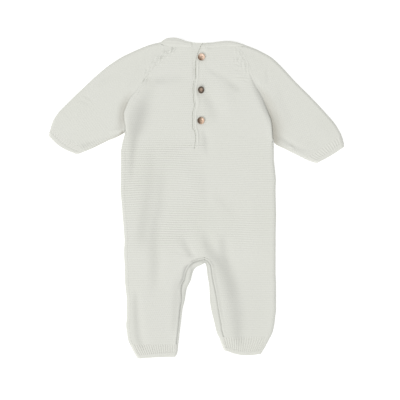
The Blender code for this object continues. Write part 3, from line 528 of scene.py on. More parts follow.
def seam_lines():
    """All seams. The inner legs' are linked: a second groove runs beside the upper part of each."""
    seams = []
    for side in (LEFT, RIGHT):
        raglan, strip = thin(raglan_points(side), 8), thin(side_seam(side, 0), 16)
        inner, link = (thin(inner_seam(side, gap), 5) for gap in (0, LINK_STEP))
        seams += [seam_along("all", raglan, side.raglan_depth, welt=0.2, width=1.1, offset=2.6),
                  seam_along("all", strip, 0.05, welt=0.05, width=0.7, offset=2.0),
                  seam_along("all", inner, 0.85, welt=0.3, width=1.2, offset=2.2),
                  seam_along("body", link, side.link_depth, welt=0.1, width=0.9, offset=1.8)]
    x = np.linspace(-56, 76, 40)
    neck = np.stack([x, through(NECK_SEAM)(x)], axis=-1)
    seams.append(seam_along("all", neck, 0.1, welt=0.05, width=0.9, offset=2.0))
    for y in FOOT_STITCHES:
        stitches = [(-19, y), (14, y)]
        seams.append(seam_along("all", stitches, 0.35, welt=0.25, width=0.6, offset=1.2))
    return seams


SEAMS = seam_lines()


# Heights and relief.

def creases(folds, cloth):
    return [along(fold.rows) for fold in folds if fold.cloth in ("all", cloth)]


FOLDS_OF = {cloth: creases(FOLDS, cloth) for cloth in ("body", "sleeve")}
SHADED_OF = {cloth: creases(SHADED, cloth) for cloth in ("body", "sleeve")}
HOLLOW_ROWS = creases(HOLLOWS, "all")


def crest(points, cloth="body"):
    """Height of the garment's upper face over points of the plane."""
    relief = sum(swell(points, rows) for rows in FOLDS_OF[cloth])
    return np.clip(LOFT + relief, LOWEST_CREST, HIGHEST_CREST)


def shade(points, cloth):
    """How much painted shade lies on the cloth over points of the plane."""
    return np.max([swell(points, rows) for rows in SHADED_OF[cloth]], axis=0)


def sole(points):
    """Height of the garment's underside, which rests on the floor outside its hollows."""
    return sum(swell(points, rows) for rows in HOLLOW_ROWS)


def rounding(points):
    """How far the upper face has risen from half height, by its distance from the outline."""
    share = 1 - np.clip(step_from_outline(points)[1] / RIM, 0, 1)
    return (1 - share ** ROUNDNESS) ** (1 / ROUNDNESS)


# Painted shade along the outline, a dark line just inside it: its tone, its distance from the outline
# and its half width.
LIGHT_WAY = (0.7, 0.7)
RIM_TONE = 0.65
RIM_LINE = 2.1
RIM_LINE_WIDTH = 1.3


def painted_rim_shade(points):
    """How much shade is painted on the cloth just inside the outline, most where that faces the light.
    """
    step, length = step_from_outline(points)
    facing = 0.5 + 0.5 * (step @ LIGHT_WAY) / np.maximum(length, 0.01)
    return RIM_TONE * facing * bell(length - RIM_LINE, RIM_LINE_WIDTH)


def wander(points):
    """How far the knitted rows stray from straight."""
    x, y = points[..., 0], points[..., 1]
    return (0.9 * np.sin(x / 41 + y / 67) + 0.5 * np.sin(x / 23 - y / 39 + 1.3)
            + 0.25 * np.sin(x / 9.7 + y / 21 + 0.4))


def evenness(points):
    """How full the knitted ridges stand: most across the left of the belly."""
    x, y = points[..., 0], points[..., 1]
    belly = smooth((102 - y) / 24) * smooth((y + 100) / 40)
    right = 0.75 * smooth((x + 6) / 30) * (1 - 0.45 * smooth((10 - y) / 50))
    uneven = 0.16 * np.sin(x / 17 + 0.6) * np.sin(y / 23 + 1.1) + 0.14 * np.sin(x / 37 - y / 29)
    return (0.32 + 0.62 * belly * (1 - right)) * (1 + uneven)


def garter(way, points, under=0):
    """The knitted ridges, by the distance along the way the knitting grows.

    Under the garment (under is 1) they stand no higher than the cloth's own face.
    """
    turn = 2 * math.pi * (way + wander(points)) / GARTER_PITCH
    ridge = 2 * (0.5 + 0.5 * np.cos(turn)) ** RIDGE_POWER - 1
    return 0.5 * GARTER_HEIGHT * (evenness(points) * ridge - under)


# The half width of a welt, and how much of the knit is lost at a seam and how far beside it.
WELT_WIDTH = 0.9
MOST_LOST = 0.8
LOST_WIDTH = 1.6


def seam_relief(points, cloth="body"):
    """Grooves and welts of the seams, and how much of the knit's own relief is left there."""
    relief = np.zeros(points.shape[:-1])
    left = np.ones(points.shape[:-1])
    for seam in SEAMS:
        if seam.cloth in ("all", cloth):
            depth, welt, distance = beside(points, seam.rows)
            nearest = distance.argmin(-1)
            depth, welt, distance = (take(part, nearest) for part in (depth, welt, distance))
            relief += (welt * bell(distance - seam.offset, WELT_WIDTH)
                       - depth * bell(distance, seam.width))
            left *= 1 - np.clip(depth, 0, MOST_LOST) * bell(distance, LOST_WIDTH)
    return relief, left


# A knitter's mark: how far it reaches from its middle as a share of its length, the half width
# of its groove, and its ridges' height as a share of the groove's depth, their distance from it
# and their half width.
MARK_REACH = 0.55
GROOVE_WIDTH = 1.2
RIDGE_SHARE = 1.5
RIDGE_OFFSET = 2.5
RIDGE_WIDTH = 1.3


def mark_relief(points):
    """The marks beside the raglan seams: short grooves, each between two soft ridges."""
    relief = np.zeros(points.shape[:-1])
    for x, y, angle, length, depth in MARKS:
        angle = math.radians(angle)
        offset = points - (x, y)
        run = offset @ (math.cos(angle), math.sin(angle))
        step = offset @ (-math.sin(angle), math.cos(angle))
        near = depth * np.exp(-(run / (MARK_REACH * length)) ** 4)
        ridges = RIDGE_SHARE * bell(np.abs(step) - RIDGE_OFFSET, RIDGE_WIDTH)
        relief += near * (ridges - bell(step, GROOVE_WIDTH))
    return relief


def body_relief(points, under=0):
    return garter(points[:, 1], points, under)


def upper_relief(points):
    """The knit's relief on the upper face of the body, with its seams."""
    groove, left = seam_relief(points)
    return groove + left * body_relief(points)


# Walls of cloth. A column is its outer and inner points and the knit's relief at each. A
# patch adds the two coordinates of the knit, across the rows of stitches and along them, and
# the rows and columns of points that the inside of the wall keeps.

Column = namedtuple("Column", "outer inner relief")
Patch = namedtuple("Patch", "outer inner relief uv rows columns")


def lift(points, height):
    height = np.broadcast_to(height, points.shape[:-1])
    return np.concatenate([points, height[..., None]], axis=-1)


def top_column(points, relief, cloth="body"):
    height = crest(points, cloth) / 2 * (1 + rounding(points))
    return Column(lift(points, height), lift(points, np.maximum(height - WALL, WALL + 0.1)), relief)


def floor_column(points, relief):
    height = sole(points)
    return Column(lift(points, height), lift(points, height + WALL), relief)


def under_column(points):
    return floor_column(points, body_relief(points, 1))


def back_column(points):
    return top_column(points, upper_relief(points) + mark_relief(points))


def fold_point(edge, inward, half, angle):
    """Outer and inner points of a folded edge at an angle from its outermost line."""
    angle = np.broadcast_to(angle, len(edge))
    run = 1 - np.clip(np.cos(angle), 0, 1)[:, None] ** (2 / ROUNDNESS)
    rise = np.sign(angle) * np.abs(np.sin(angle)) ** (2 / ROUNDNESS)
    return (lift(edge + RIM * run * inward, half * (1 + rise)),
            lift(edge + (WALL + (RIM - WALL) * run) * inward, half + (half - WALL) * rise))


def fold_columns(edge, inward, relief, cloth="body"):
    """Round a folded edge, from the upper layer down to the one on the floor."""
    half = crest(edge + RIM * inward, cloth) / 2
    return [Column(*fold_point(edge, inward, half, angle),
                   relief(edge, max(0, -math.sin(angle)) ** 2)) for angle in FOLD_ANGLES]


def turned_up(edge, inward, strip):
    """From a strip's seam on the upper face over the folded edge and down to the floor."""
    half = crest(edge + RIM * inward) / 2
    quarter = 0.25 * math.pi * (RIM + half)
    width = through(strip)(edge[:, 1]) - SEAM_GAP
    bent = np.arccos((1 - np.clip(width / RIM, 0, 1)) ** (ROUNDNESS / 2)) * 2 / math.pi
    reach = quarter * bent + np.clip(width - RIM, 0, None)
    columns = []
    for share in np.linspace(1, 0, STRIP_COLUMNS + 1)[:-1]:
        arc = reach * share
        outer, inner = fold_point(edge, inward, half, np.clip(arc / quarter, 0, 1) * math.pi / 2)
        points = outer[:, :2] + np.clip(arc - quarter, 0, None)[:, None] * inward
        flat = (arc > quarter)[:, None]
        outer = np.where(flat, lift(points, crest(points)), outer)
        inner = np.where(flat, lift(points, crest(points) - WALL), inner)
        columns.append(Column(outer, inner, upper_relief(points)))
    return columns + fold_columns(edge, inward, body_relief)[len(FOLD_ANGLES) // 2:]


def kept(count, step=KEEP):
    """Places kept on the inside of a wall."""
    return sorted(set(range(0, count, step)) | {count - 1})


def patch(columns, way=(0, 1), rows=None, kept_columns=None, across_of=None):
    """A patch of wall from its columns; way is the direction that the knitting grows in.

    across_of gives the knit's first coordinate, which is otherwise measured on the wall.
    """
    outer, inner, relief = (np.stack(part, axis=1) for part in zip(*columns))
    plan, across = outer[..., :2], np.array((way[1], -way[0]))
    side_step, rise = np.diff(plan, axis=1) @ across, np.diff(outer[..., 2], axis=1)
    run = np.hypot(side_step, rise) * np.sign(side_step + 1e-9)
    run = np.where(np.abs(side_step) < np.abs(rise), np.abs(run), run)
    start = plan[:, :1] @ across
    u = np.concatenate([start, start + np.cumsum(run, axis=1)], axis=1)
    if across_of:
        u = across_of(plan)
    v = plan @ np.array(way, float) + wander(plan)
    return Patch(outer, inner, relief, np.stack([u, v], axis=-1), rows or kept(outer.shape[0]),
                 kept_columns or kept(outer.shape[1], KEEP_COLUMNS))


def mirrored(part):
    """The same patch with its columns in the other order, so that it faces the other way."""
    last = part.relief.shape[1] - 1
    columns = sorted(last - column for column in part.columns)
    return Patch(*(grid[:, ::-1] for grid in part[:4]), part.rows, columns)


def grid_faces(grid, number):
    """The four-cornered faces of a grid of spots, each as pairs of a corner and its spot.

    A corner is a welded point's number, and one that repeats in a face is dropped.
    """
    corners = (grid[:-1, :-1], grid[1:, :-1], grid[1:, 1:], grid[:-1, 1:])
    faces = []
    for spots in np.stack(corners, axis=-1).reshape(-1, 4).tolist():
        face = {}
        for spot in spots:
            face.setdefault(number[spot], spot)
        if len(face) > 2:
            faces.append(list(face.items()))
    return faces


def vertex_normals(points, faces):
    normals = np.zeros_like(points)
    triangles = np.array([(face[0][0], face[i][0], face[i + 1][0])
                          for face in faces for i in range(1, len(face) - 1)])
    a, b, c = (points[triangles[:, i]] for i in range(3))
    cross = np.cross(b - a, c - a)
    for i in range(3):
        np.add.at(normals, triangles[:, i], cross)
    return normals / (np.linalg.norm(normals, axis=1, keepdims=True) + 1e-12)


def rim_faces(shell, inside):
    """Faces that close the wall where it ends, between its outer and inner points."""
    spot_of = {(a, b): spot for face in shell
               for (a, spot), (b, _) in zip(face, face[1:] + face[:1])}
    following = {a: (b, spot) for (a, b), spot in spot_of.items() if (b, a) not in spot_of}
    faces = []
    for corner in following:
        if corner in inside:
            path = [corner, following[corner][0]]
            while path[-1] not in inside:
                path.append(following[path[-1]][0])
            outer = [(step, following[step][1]) for step in path]
            inner = [(inside[step], spot) for step, spot in (outer[0], outer[-1])]
            faces.append(outer[::-1] + inner)
    return faces


# How dark the painted shade is in the hollows of the relief, in the troughs and in the body's shaded
# places, each at its deepest.
DEEP_RELIEF = 0.4
MOST_SUNK = 1.6
SUNK_POWER = 1.3
DEEP_TROUGH = 2.4
TROUGH_TONE = 1.1
SHADE_TONE = 2.2


def tones(plan, height, relief, kind):
    """How much brown shade and how much dark shade is painted on the cloth's outside: in shaded places,
    troughs, grooves and rims.
    """
    upper = height > WALL
    # Painted shade in the troughs, by their depth.
    dip = np.clip((LOFT - crest(plan, kind)) / DEEP_TROUGH, 0, 1)
    # Painted shade in the grooves of the knit and the seams, by their depth.
    sunk = np.clip(-relief / DEEP_RELIEF, 0, MOST_SUNK) ** SUNK_POWER
    painted_brown_shade = shade(plan, kind) * upper
    # On the body the painted shade is plain dark; on the sleeves it is brown, and any more than full
    # brown is painted dark.
    painted_plain_shade = painted_brown_shade if kind == "body" else np.maximum(painted_brown_shade - 1, 0)
    # All the painted dark shade: grooves, troughs, the outline's rim and the body's shaded places.
    dark = sunk + (TROUGH_TONE * dip + painted_rim_shade(plan)) * upper + SHADE_TONE * painted_plain_shade
    return painted_brown_shade - painted_plain_shade, dark


def new_object(name, data):
    item = bpy.data.objects.new(name, data)
    bpy.context.scene.collection.objects.link(item)
    return item


# Edges that turn by more degrees than this are shaded sharp.
SHARP_CLOTH = 60
SHARP_BUTTON = 40


def finish_mesh(mesh, sharp_angle, material):
    mesh.shade_smooth()
    mesh.set_sharp_from_angle(angle=math.radians(sharp_angle))
    mesh.materials.append(material)


def make_cloth(name, patches, material, node, kind="body"):
    """A closed wall of cloth in place of a node, with its relief raised on the outside."""
    outer, inner, relief, uv = (np.concatenate([grid.reshape((-1,) + grid.shape[2:])
                                                for grid in grids])
                                for grids in list(zip(*patches))[:4])
    _, first, number = np.unique(np.round(outer, 3) + 0.0, axis=0, return_index=True,
                                 return_inverse=True)
    number = number.ravel().tolist()
    shell, lining, start = [], [], 0
    for part in patches:
        place = start + np.arange(part.relief.size).reshape(part.relief.shape)
        shell += grid_faces(place, number)
        lining += grid_faces(place[np.ix_(part.rows, part.columns)], number)
        start += place.size
    points, relief = outer[first], relief[first]
    plan = points[:, :2]
    normals = vertex_normals(points, shell)
    uppermost = points[:, 2] > 0.7 * LOFT
    if normals[uppermost, 2].mean() < 0:
        normals = -normals
    points = points + normals * relief[:, None]
    points[:, 2] = np.maximum(points[:, 2], 0)
    used = sorted({corner for face in lining for corner, _ in face})
    inside = {corner: len(points) + i for i, corner in enumerate(used)}
    faces = shell + [[(inside[corner], spot) for corner, spot in face[::-1]] for face in lining]
    faces += rim_faces(shell, inside)

    mesh = bpy.data.meshes.new(name)
    mesh.from_pydata(np.concatenate([points, inner[first][used]]) * MM, [],
                     [[corner for corner, _ in face] for face in faces])
    layer = mesh.uv_layers.new(name="knit")
    layer.data.foreach_set("uv", (uv[[spot for face in faces for _, spot in face]] * MM).ravel())
    # Painted shade, kept as point attributes for the knit material: how brown and how dark the cloth is
    # painted at each point.
    for field, tone in zip(("shade", "painted_dark_shade"), tones(plan, points[:, 2], relief, kind)):
        values = np.concatenate([tone, np.zeros(len(used))])
        mesh.attributes.new(field, "FLOAT", "POINT").data.foreach_set("value", values)
    work = bmesh.new()
    work.from_mesh(mesh)
    bmesh.ops.recalc_face_normals(work, faces=work.faces)
    work.to_mesh(mesh)
    work.free()
    finish_mesh(mesh, SHARP_CLOTH, material)
    item = new_object(name, mesh)
    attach(item, "root")
    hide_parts(node)
    return item


# The body and legs.

def front_centre():
    """The middle of the front from the neck to the crotch, a point for each body row."""
    left, right = (np.concatenate([raglan_points(side), body_edge(side)])[:, 1]
                   for side in (LEFT, RIGHT))
    y = (left + right) / 2
    x = NECK_CENTRE_X + (y[0] - y) / (y[0] - y[-1]) * (CROTCH[0] - NECK_CENTRE_X)
    y[0] = neck_row(x[0])
    y[-1] = CROTCH[1] + RIM
    return np.stack([x, y], axis=-1)


def front_half(side):
    """Patches of one half of the front, with the leg and the strips turned up to the back."""
    edge, inward = side_edge(side)
    _, inner_edge, inner_inward = leg_edges(side)
    outside, inside = edge + RIM * inward, inner_edge + RIM * inner_inward
    middle = np.concatenate([front_centre(), inside[1:]])
    upper = np.concatenate([raglan_points(side, -SEAM_GAP), outside[:1]])
    upper_middle, lower_middle = middle[:len(upper)], middle[RAGLAN_ROWS + 1:]
    lines = [follow_neck(points) for points in between(upper, upper_middle, FRONT_LINES)]
    yoke = [under_column(points) for points in [upper] + lines + [upper_middle]]
    lines = between(outside, lower_middle, FRONT_LINES) + [lower_middle]
    sheet = turned_up(edge, inward, side.strip) + [under_column(points) for points in lines]
    leg_strip = turned_up(inner_edge, inner_inward, side.inner_strip)
    yoke_rows = sorted(set(kept(RAGLAN_ROWS + 1)) | {RAGLAN_ROWS + 1})
    under = len(sheet) - len(yoke)
    sheet_columns = sorted(set(kept(under, KEEP_COLUMNS)) | set(range(under, len(sheet))))
    patches = [patch(yoke, rows=yoke_rows, kept_columns=list(range(len(yoke)))),
               patch(sheet, kept_columns=sheet_columns), patch(leg_strip[::-1])]
    return [mirrored(part) for part in patches] if side is RIGHT else patches


def back_inner_line(side):
    """The back's inner line: down the slit, on to the crotch, and down the inner leg."""
    seam = inner_seam(side, SEAM_GAP)
    slit_x = PLACKET_LEFT if side is LEFT else PLACKET_RIGHT
    y = np.concatenate([np.linspace(neck_row(slit_x), PLACKET_FOOT, PLACKET_ROW + 1),
                        np.linspace(PLACKET_FOOT, seam[0, 1], BODY_ROWS + 1)[1:]])
    fall = np.clip((PLACKET_FOOT - y) / (PLACKET_FOOT - seam[0, 1]), 0, 1)
    x = slit_x + (seam[0, 0] - slit_x) * fall ** 2
    return np.concatenate([np.stack([x, y], axis=-1), seam[1:]])


def back_half(side):
    """One half of the back, and its inner line from the placket's foot to the crotch."""
    outside = np.concatenate([raglan_points(side, -SEAM_GAP), side_seam(side, SEAM_GAP)])
    inside = back_inner_line(side)
    way = unit(inside - outside)
    lines = [outside + step * way for step in SEAM_STEPS]
    lines += between(lines[-1], inside - EDGE_STEPS[-1] * way, HALF_MIDDLE)
    lines += [inside - step * way for step in EDGE_STEPS[::-1]]
    lines[1:-1] = [follow_neck(points) for points in lines[1:-1]]
    below = RAGLAN_ROWS + 1
    rows = sorted(set(kept(below)) | {below + row for row in kept(len(outside) - below)})
    part = patch([back_column(points) for points in lines], rows=rows)
    line = inside[PLACKET_ROW:PLACKET_ROW + BODY_ROWS + 1]
    return (mirrored(part) if side is RIGHT else part), line


def make_body(material):
    front = make_cloth("knit_front", front_half(LEFT) + front_half(RIGHT), material,
                       "front_panel")
    left, left_line = back_half(LEFT)
    right, right_line = back_half(RIGHT)
    middle = [left_line] + between(left_line, right_line, CENTRE_LINES) + [right_line]
    centre = patch([back_column(points) for points in middle])
    back = make_cloth("knit_back", [left, centre, right], material, "back_panel")
    return front, back


# Flattened tubes: the sleeves and the cuffs.

def tube(name, edges, inwards, starts, shares, bow, relief, way, material, kind,
         across_of=None):
    """A flattened tube between two folded edges, open at its first and last row.

    starts holds the first row's points between the folds, and shares their places along a
    row. bow moves the last row's points outwards.
    """
    first, last = (edge + RIM * inward for edge, inward in zip(edges, inwards))
    fade = np.linspace(1, 0, len(first))[:, None] ** 2
    floor, top = [], []
    for number, (share, start) in enumerate(zip(shares, starts)):
        points = first + (last - first) * share
        points = points + fade * (start - points[0]) + (1 - fade) * bow(share)
        if number % FLOOR_STEP == FLOOR_STEP // 2:
            floor.append(floor_column(points, relief(points, 1)))
        top.append(top_column(points, relief(points, 0), kind))
    fold_a, fold_b = (fold_columns(edge, inward, relief, kind)
                      for edge, inward in zip(edges, inwards))
    columns = floor + fold_b[::-1] + top[::-1] + fold_a
    whole = patch(columns + columns[:1], way, across_of=across_of)
    return make_cloth("knit_" + name, [whole], material, name, kind)


def make_sleeve(name, side, material):
    """A raglan sleeve, from its raglan seam and its stretch of the neck seam to the cuff."""
    edge_a, edge_b = (along(line, SLEEVE_ROWS + 1) for line in (side.underarm, side.shoulder))
    end = unit(edge_b[-1] - edge_a[-1])
    inward_a = turned(side.sign * left_normals(edge_a), (0, 1), SLEEVE_TURN)
    inward_a = turned_at_end(inward_a, end, SLEEVE_TURN)
    inward_b = turned_at_end(-side.sign * left_normals(edge_b), -end, SLEEVE_TURN)
    edge_a[0, 0] += side.sign * SEAM_GAP

    # The first row, without the points of the seams that are nearest to its two folds.
    raglan = raglan_points(side, SEAM_GAP)[:-1][::-1]
    beyond = [point for point in NECK_SEAM if side.sign * (point[0] - raglan[-1, 0]) > 0]
    neck = sorted(beyond, key=lambda point: side.sign * point[0])[:-2]
    row = np.concatenate([[edge_a[0] + RIM * inward_a[0]], raglan[4:],
                          np.array(neck, float) - (0, SEAM_GAP), [edge_b[0] + RIM * inward_b[0]]])
    reach = length_to(row)
    shares = np.linspace(0, 1, SLEEVE_COLUMNS + 2)[1:-1]
    starts = np.stack([np.interp(shares, reach / reach[-1], column) for column in row.T], axis=-1)
    way = unit((edge_a[0] + edge_b[0]) / 2 - (edge_a[-1] + edge_b[-1]) / 2)

    def relief(points, under):
        groove, left = seam_relief(points, "sleeve")
        rows = garter(points @ way, points, under)
        return (groove + mark_relief(points)) * (1 - under) + SLEEVE_SHARE * left * rows
    return tube(name, (edge_a, edge_b), (inward_a, inward_b), starts, shares,
                lambda share: 0.0, relief, way, material, "sleeve")


def make_cuff(name, cuff, material):
    """A ribbed cuff, whose ribs run from its seam to its smoother hem."""
    kind = "sleeve" if "sleeve" in name else "body"
    tall = RIB_HEIGHT * (SLEEVE_RIB_SHARE if kind == "sleeve" else 1)
    edge_a, edge_b = (along(line, cuff.rows + 1) for line in (cuff.side_a, cuff.side_b))
    across = unit(edge_b - edge_a)
    outwards = unit((edge_a[-1] - edge_a[0]) + (edge_b[-1] - edge_b[0]))
    shares = np.linspace(0, 1, cuff.ribs * POINTS_PER_RIB + 1)[1:-1]
    first, last = edge_a[0] + RIM * across[0], edge_b[0] - RIM * across[0]
    starts = first + (last - first) * shares[:, None]

    def bow(share):
        return cuff.bow * math.sin(math.pi * share) ** BOW_POWER * outwards

    def place(points):
        """Share of the way across between the folds; points has one row for each of edge_a."""
        shape = (len(edge_a),) + (1,) * (points.ndim - 2) + (2,)
        start, way = (edge_a + RIM * across).reshape(shape), across.reshape(shape)
        width = np.linalg.norm(edge_b - edge_a, axis=1) - 2 * RIM
        return ((points - start) * way).sum(-1) / width.reshape(shape[:-1])

    def across_of(points):
        return RIB_PITCH * cuff.ribs * place(points)

    def relief(points, under):
        ribs = 0.5 * tall * (1 - np.cos(2 * math.pi * cuff.ribs * place(points)))
        length = (points - points[0]) @ outwards
        left = length[-1] - length
        stitch = STITCH_HEIGHT * np.cos(2 * math.pi * length / CROSSING_PITCH)
        hem = smooth((HEM + 1 - left) / 2.5)
        knit = (ribs - 0.4 * tall) * (1 - 0.75 * hem) * smooth(length / 1.8) + stitch
        edge = 0.3 * hem - 0.3 * bell(left - HEM, 1.5) - 0.3 * bell(left, 1.0)
        return (knit + edge) * (1 - under)
    return tube(name, (edge_a, edge_b), (across, -across), starts, shares, bow, relief,
                -outwards, material, kind, across_of)


# The neckband and the placket.

# Across the neckband: the share of its width from the seam, and how far it rises there.
NECK_SECTION = [(0, -0.35), (0.05, -0.1), (0.15, 0.35), (0.3, 0.7), (0.5, 0.85), (0.68, 0.7),
                (0.82, 0.35), (0.92, -0.2), (0.98, -0.9), (1, -1.7)]
NECK_ROLL_POWER = 1.3
NECKBAND_FALL = 2.2
NECKBAND_END = 16
RIPPLE_HEIGHT = 0.13
RIPPLES = 3.2


def make_neckband(material):
    """The band round the neck, open at the placket, with its rolled edge uppermost."""
    low, high = through(NECK_SEAM), through(NECK_EDGE)
    left_end = NECK_SEAM[0][0] + NECKBAND_INSET
    right_end = NECK_SEAM[-1][0] - NECKBAND_INSET
    left_fold, right_fold = left_end + NECKBAND_RIM, right_end - NECKBAND_RIM
    levels = 1 - (1 - np.linspace(0, 1, NECKBAND_ROWS)) ** NECK_ROLL_POWER
    rise = through(NECK_SECTION)(levels)
    fall = NECKBAND_FALL * levels ** 3
    thickness = WALL - 1.0 * levels ** 3
    ripple = RIPPLE_HEIGHT * np.cos(2 * math.pi * levels * RIPPLES)

    def side(x, z):
        y = low(x) + SEAM_GAP + (high(x) - low(x) - SEAM_GAP) * levels
        return np.stack([np.full_like(y, x), y, z * np.ones_like(y)], axis=-1)

    def top(x):
        points = np.stack([np.full_like(levels, x), np.full_like(levels, low(x))], axis=-1)
        share = smooth(min(x - left_end, right_end - x) / NECKBAND_END)
        height = crest(points) + share * rise - (1 - share) * fall
        return Column(side(x, height), side(x, height - thickness), ripple)

    def fold(end, inward):
        half = (LOFT - fall) / 2
        columns = []
        for angle in FOLD_ANGLES:
            run, turn = 1 - math.cos(angle), math.sin(angle)
            outer = side(end + inward * NECKBAND_RIM * run, half * (1 + turn))
            inner = side(end + inward * NECKBAND_RIM * (0.6 + 0.4 * run),
                         half + (half - thickness) * turn)
            columns.append(Column(outer, inner, ripple * max(0, turn)))
        return columns

    left_count, under_count, right_count = NECKBAND_COLUMNS
    columns = [top(x) for x in np.linspace(PLACKET_LEFT, left_fold, left_count)[:-1]]
    columns += fold(left_end, 1)
    columns += [Column(side(x, 0), side(x, thickness), 0 * levels)
                for x in np.linspace(left_fold, right_fold, under_count)[1:-1]]
    columns += fold(right_end, -1)[::-1]
    columns += [top(x) for x in np.linspace(right_fold, PLACKET_RIGHT, right_count)[1:]]
    return make_cloth("knit_neckband", [patch(columns, rows=list(range(NECKBAND_ROWS)))],
                      material, "neckband")


def up_placket(x):
    """Points up the placket at places x, from its foot to the neckband's edge."""
    shares = np.linspace(0, 1, PLACKET_ROWS)
    x = np.full(PLACKET_ROWS, x)
    y = PLACKET_FOOT + SEAM_GAP + (through(NECK_EDGE)(x) - PLACKET_FOOT - 0.3) * shares
    return np.stack([x, y], axis=-1)


def under_height(points):
    """Upper face of the button band: level with the back where it shows, and lower beyond."""
    shows = smooth((through(OVERLAP_EDGE)(points[:, 1]) + 0.5 - points[:, 0]) / 1.1)
    return UNDER_TOP + (crest(points) - UNDER_TOP) * shows


def make_button_band(material):
    columns = []
    for x in np.linspace(PLACKET_LEFT + SEAM_GAP, UNDER_RIGHT, BAND_COLUMNS):
        points = up_placket(x)
        height = under_height(points)
        near = bell(points[:, 1] - 204, 14)
        relief = near * (1.0 * bell(x + 3.2, 0.8) - 0.6 * bell(x + 4.9, 0.8))
        relief += body_relief(points) * smooth((height - UNDER_TOP) / 2)
        columns.append(Column(lift(points, height), lift(points, height - UNDER_WALL), relief))
    return make_cloth("knit_button_band", [patch(columns[::-1])], material, "button_band")


# The rolled edge of the upper band: the step from the edge, and the height of its face above
# the garment's.
ROLL = [(0, -0.8), (0.15, -0.3), (0.4, 0.25), (0.8, 0.6), (1.3, 0.62), (1.8, 0.3), (2.3, -0.05),
        (2.7, -0.1), (3.2, 0.2), (3.8, 0.55), (4.5, 0.65), (5.3, 0.4), (6.2, 0.1), (7.2, 0)]


def make_buttonhole_band(material):
    """The upper band, whose free edge waves and rolls into a soft bead."""
    right = up_placket(PLACKET_RIGHT - SEAM_GAP)
    edge = through(OVERLAP_EDGE)(right[:, 1])
    scale = (right[:, 0] - edge) / (PLACKET_RIGHT - OVERLAP_EDGE[0][1])
    section = [(edge + step * scale, rise) for step, rise in ROLL]
    section += [(x, 0.0) for x in between(section[-1][0], right[:, 0], 9) + [right[:, 0]]]
    columns = []
    for x, rise in section:
        points = up_placket(x)
        y = points[:, 1]
        neck = np.clip((y - through(NECK_SEAM)(x)) / 7, 0, 1)
        fade = 1 - 0.45 * smooth((y - 214) / 12)
        height = crest(points) + rise * fade + 0.6 * neck - 1.5 * neck ** 4
        bottom = np.minimum(under_height(points) + 0.3, height - 0.5)
        groove, left = seam_relief(points)
        flat = 0.2 + 0.8 * smooth((x - edge) / 4 - 1.2)
        relief = groove + left * flat * garter(y, points)
        columns.append(Column(lift(points, height), lift(points, bottom), relief))
    return make_cloth("knit_buttonhole_band", [patch(columns[::-1])], material,
                      "buttonhole_band")


# Materials.

def fill(tree, node, inputs):
    """Set a node's inputs, or link them where the value is another node's output."""
    for name, value in inputs.items():
        if isinstance(value, bpy.types.NodeSocket):
            tree.links.new(value, node.inputs[name])
        else:
            node.inputs[name].default_value = value


def add_node(tree, kind, inputs=None, **settings):
    node = tree.nodes.new("ShaderNode" + kind)
    for name, value in settings.items():
        setattr(node, name, value)
    fill(tree, node, inputs or {})
    return node


def math_node(tree, operation, *values):
    return add_node(tree, "Math", dict(enumerate(values)), operation=operation).outputs[0]


def object_place(tree):
    return add_node(tree, "TexCoord").outputs["Object"]


def noise(tree, scale, detail=2.0, roughness=0.5):
    return add_node(tree, "TexNoise", {"Vector": object_place(tree), "Scale": scale,
                                       "Detail": detail, "Roughness": roughness}).outputs["Fac"]


def mix(tree, share, first, second):
    return add_node(tree, "Mix", {"Factor": share, "A": first, "B": second},
                    data_type="RGBA").outputs["Result"]


def span(tree, value, low, high, to_low=0.0, to_high=1.0):
    return add_node(tree, "MapRange", {"Value": value, "From Min": low, "From Max": high,
                                       "To Min": to_low, "To Max": to_high}).outputs["Result"]


def attribute(tree, name):
    return add_node(tree, "Attribute", attribute_name=name).outputs["Fac"]


def new_material(name):
    """A new material, its node tree and its Principled shader."""
    material = bpy.data.materials.new(name)
    material.use_nodes = True
    return material, material.node_tree, material.node_tree.nodes["Principled BSDF"]


def darkened(colour, *shares):
    return tuple(part * share for part, share in zip(colour, shares)) + (1,)


CREAM = (0.722, 0.726, 0.675, 1)
RIB_CREAM = (0.738, 0.740, 0.688, 1)
# The brown that the painted shade turns the cream to.
CREAM_SHADE = (0.558, 0.543, 0.480, 1)
HOLLOW_TONE = 0.1
DEEPEST_TONE = 0.3
RIB_LEAN = 2.6
LOOP_SHARE = 0.5
FIBRE_SHARE = 1.1
FIBRE_SCALE = 1400
BUMP_HEIGHT = 0.00028
DRIFT_SCALE = 11
FLECK_SCALE = 420


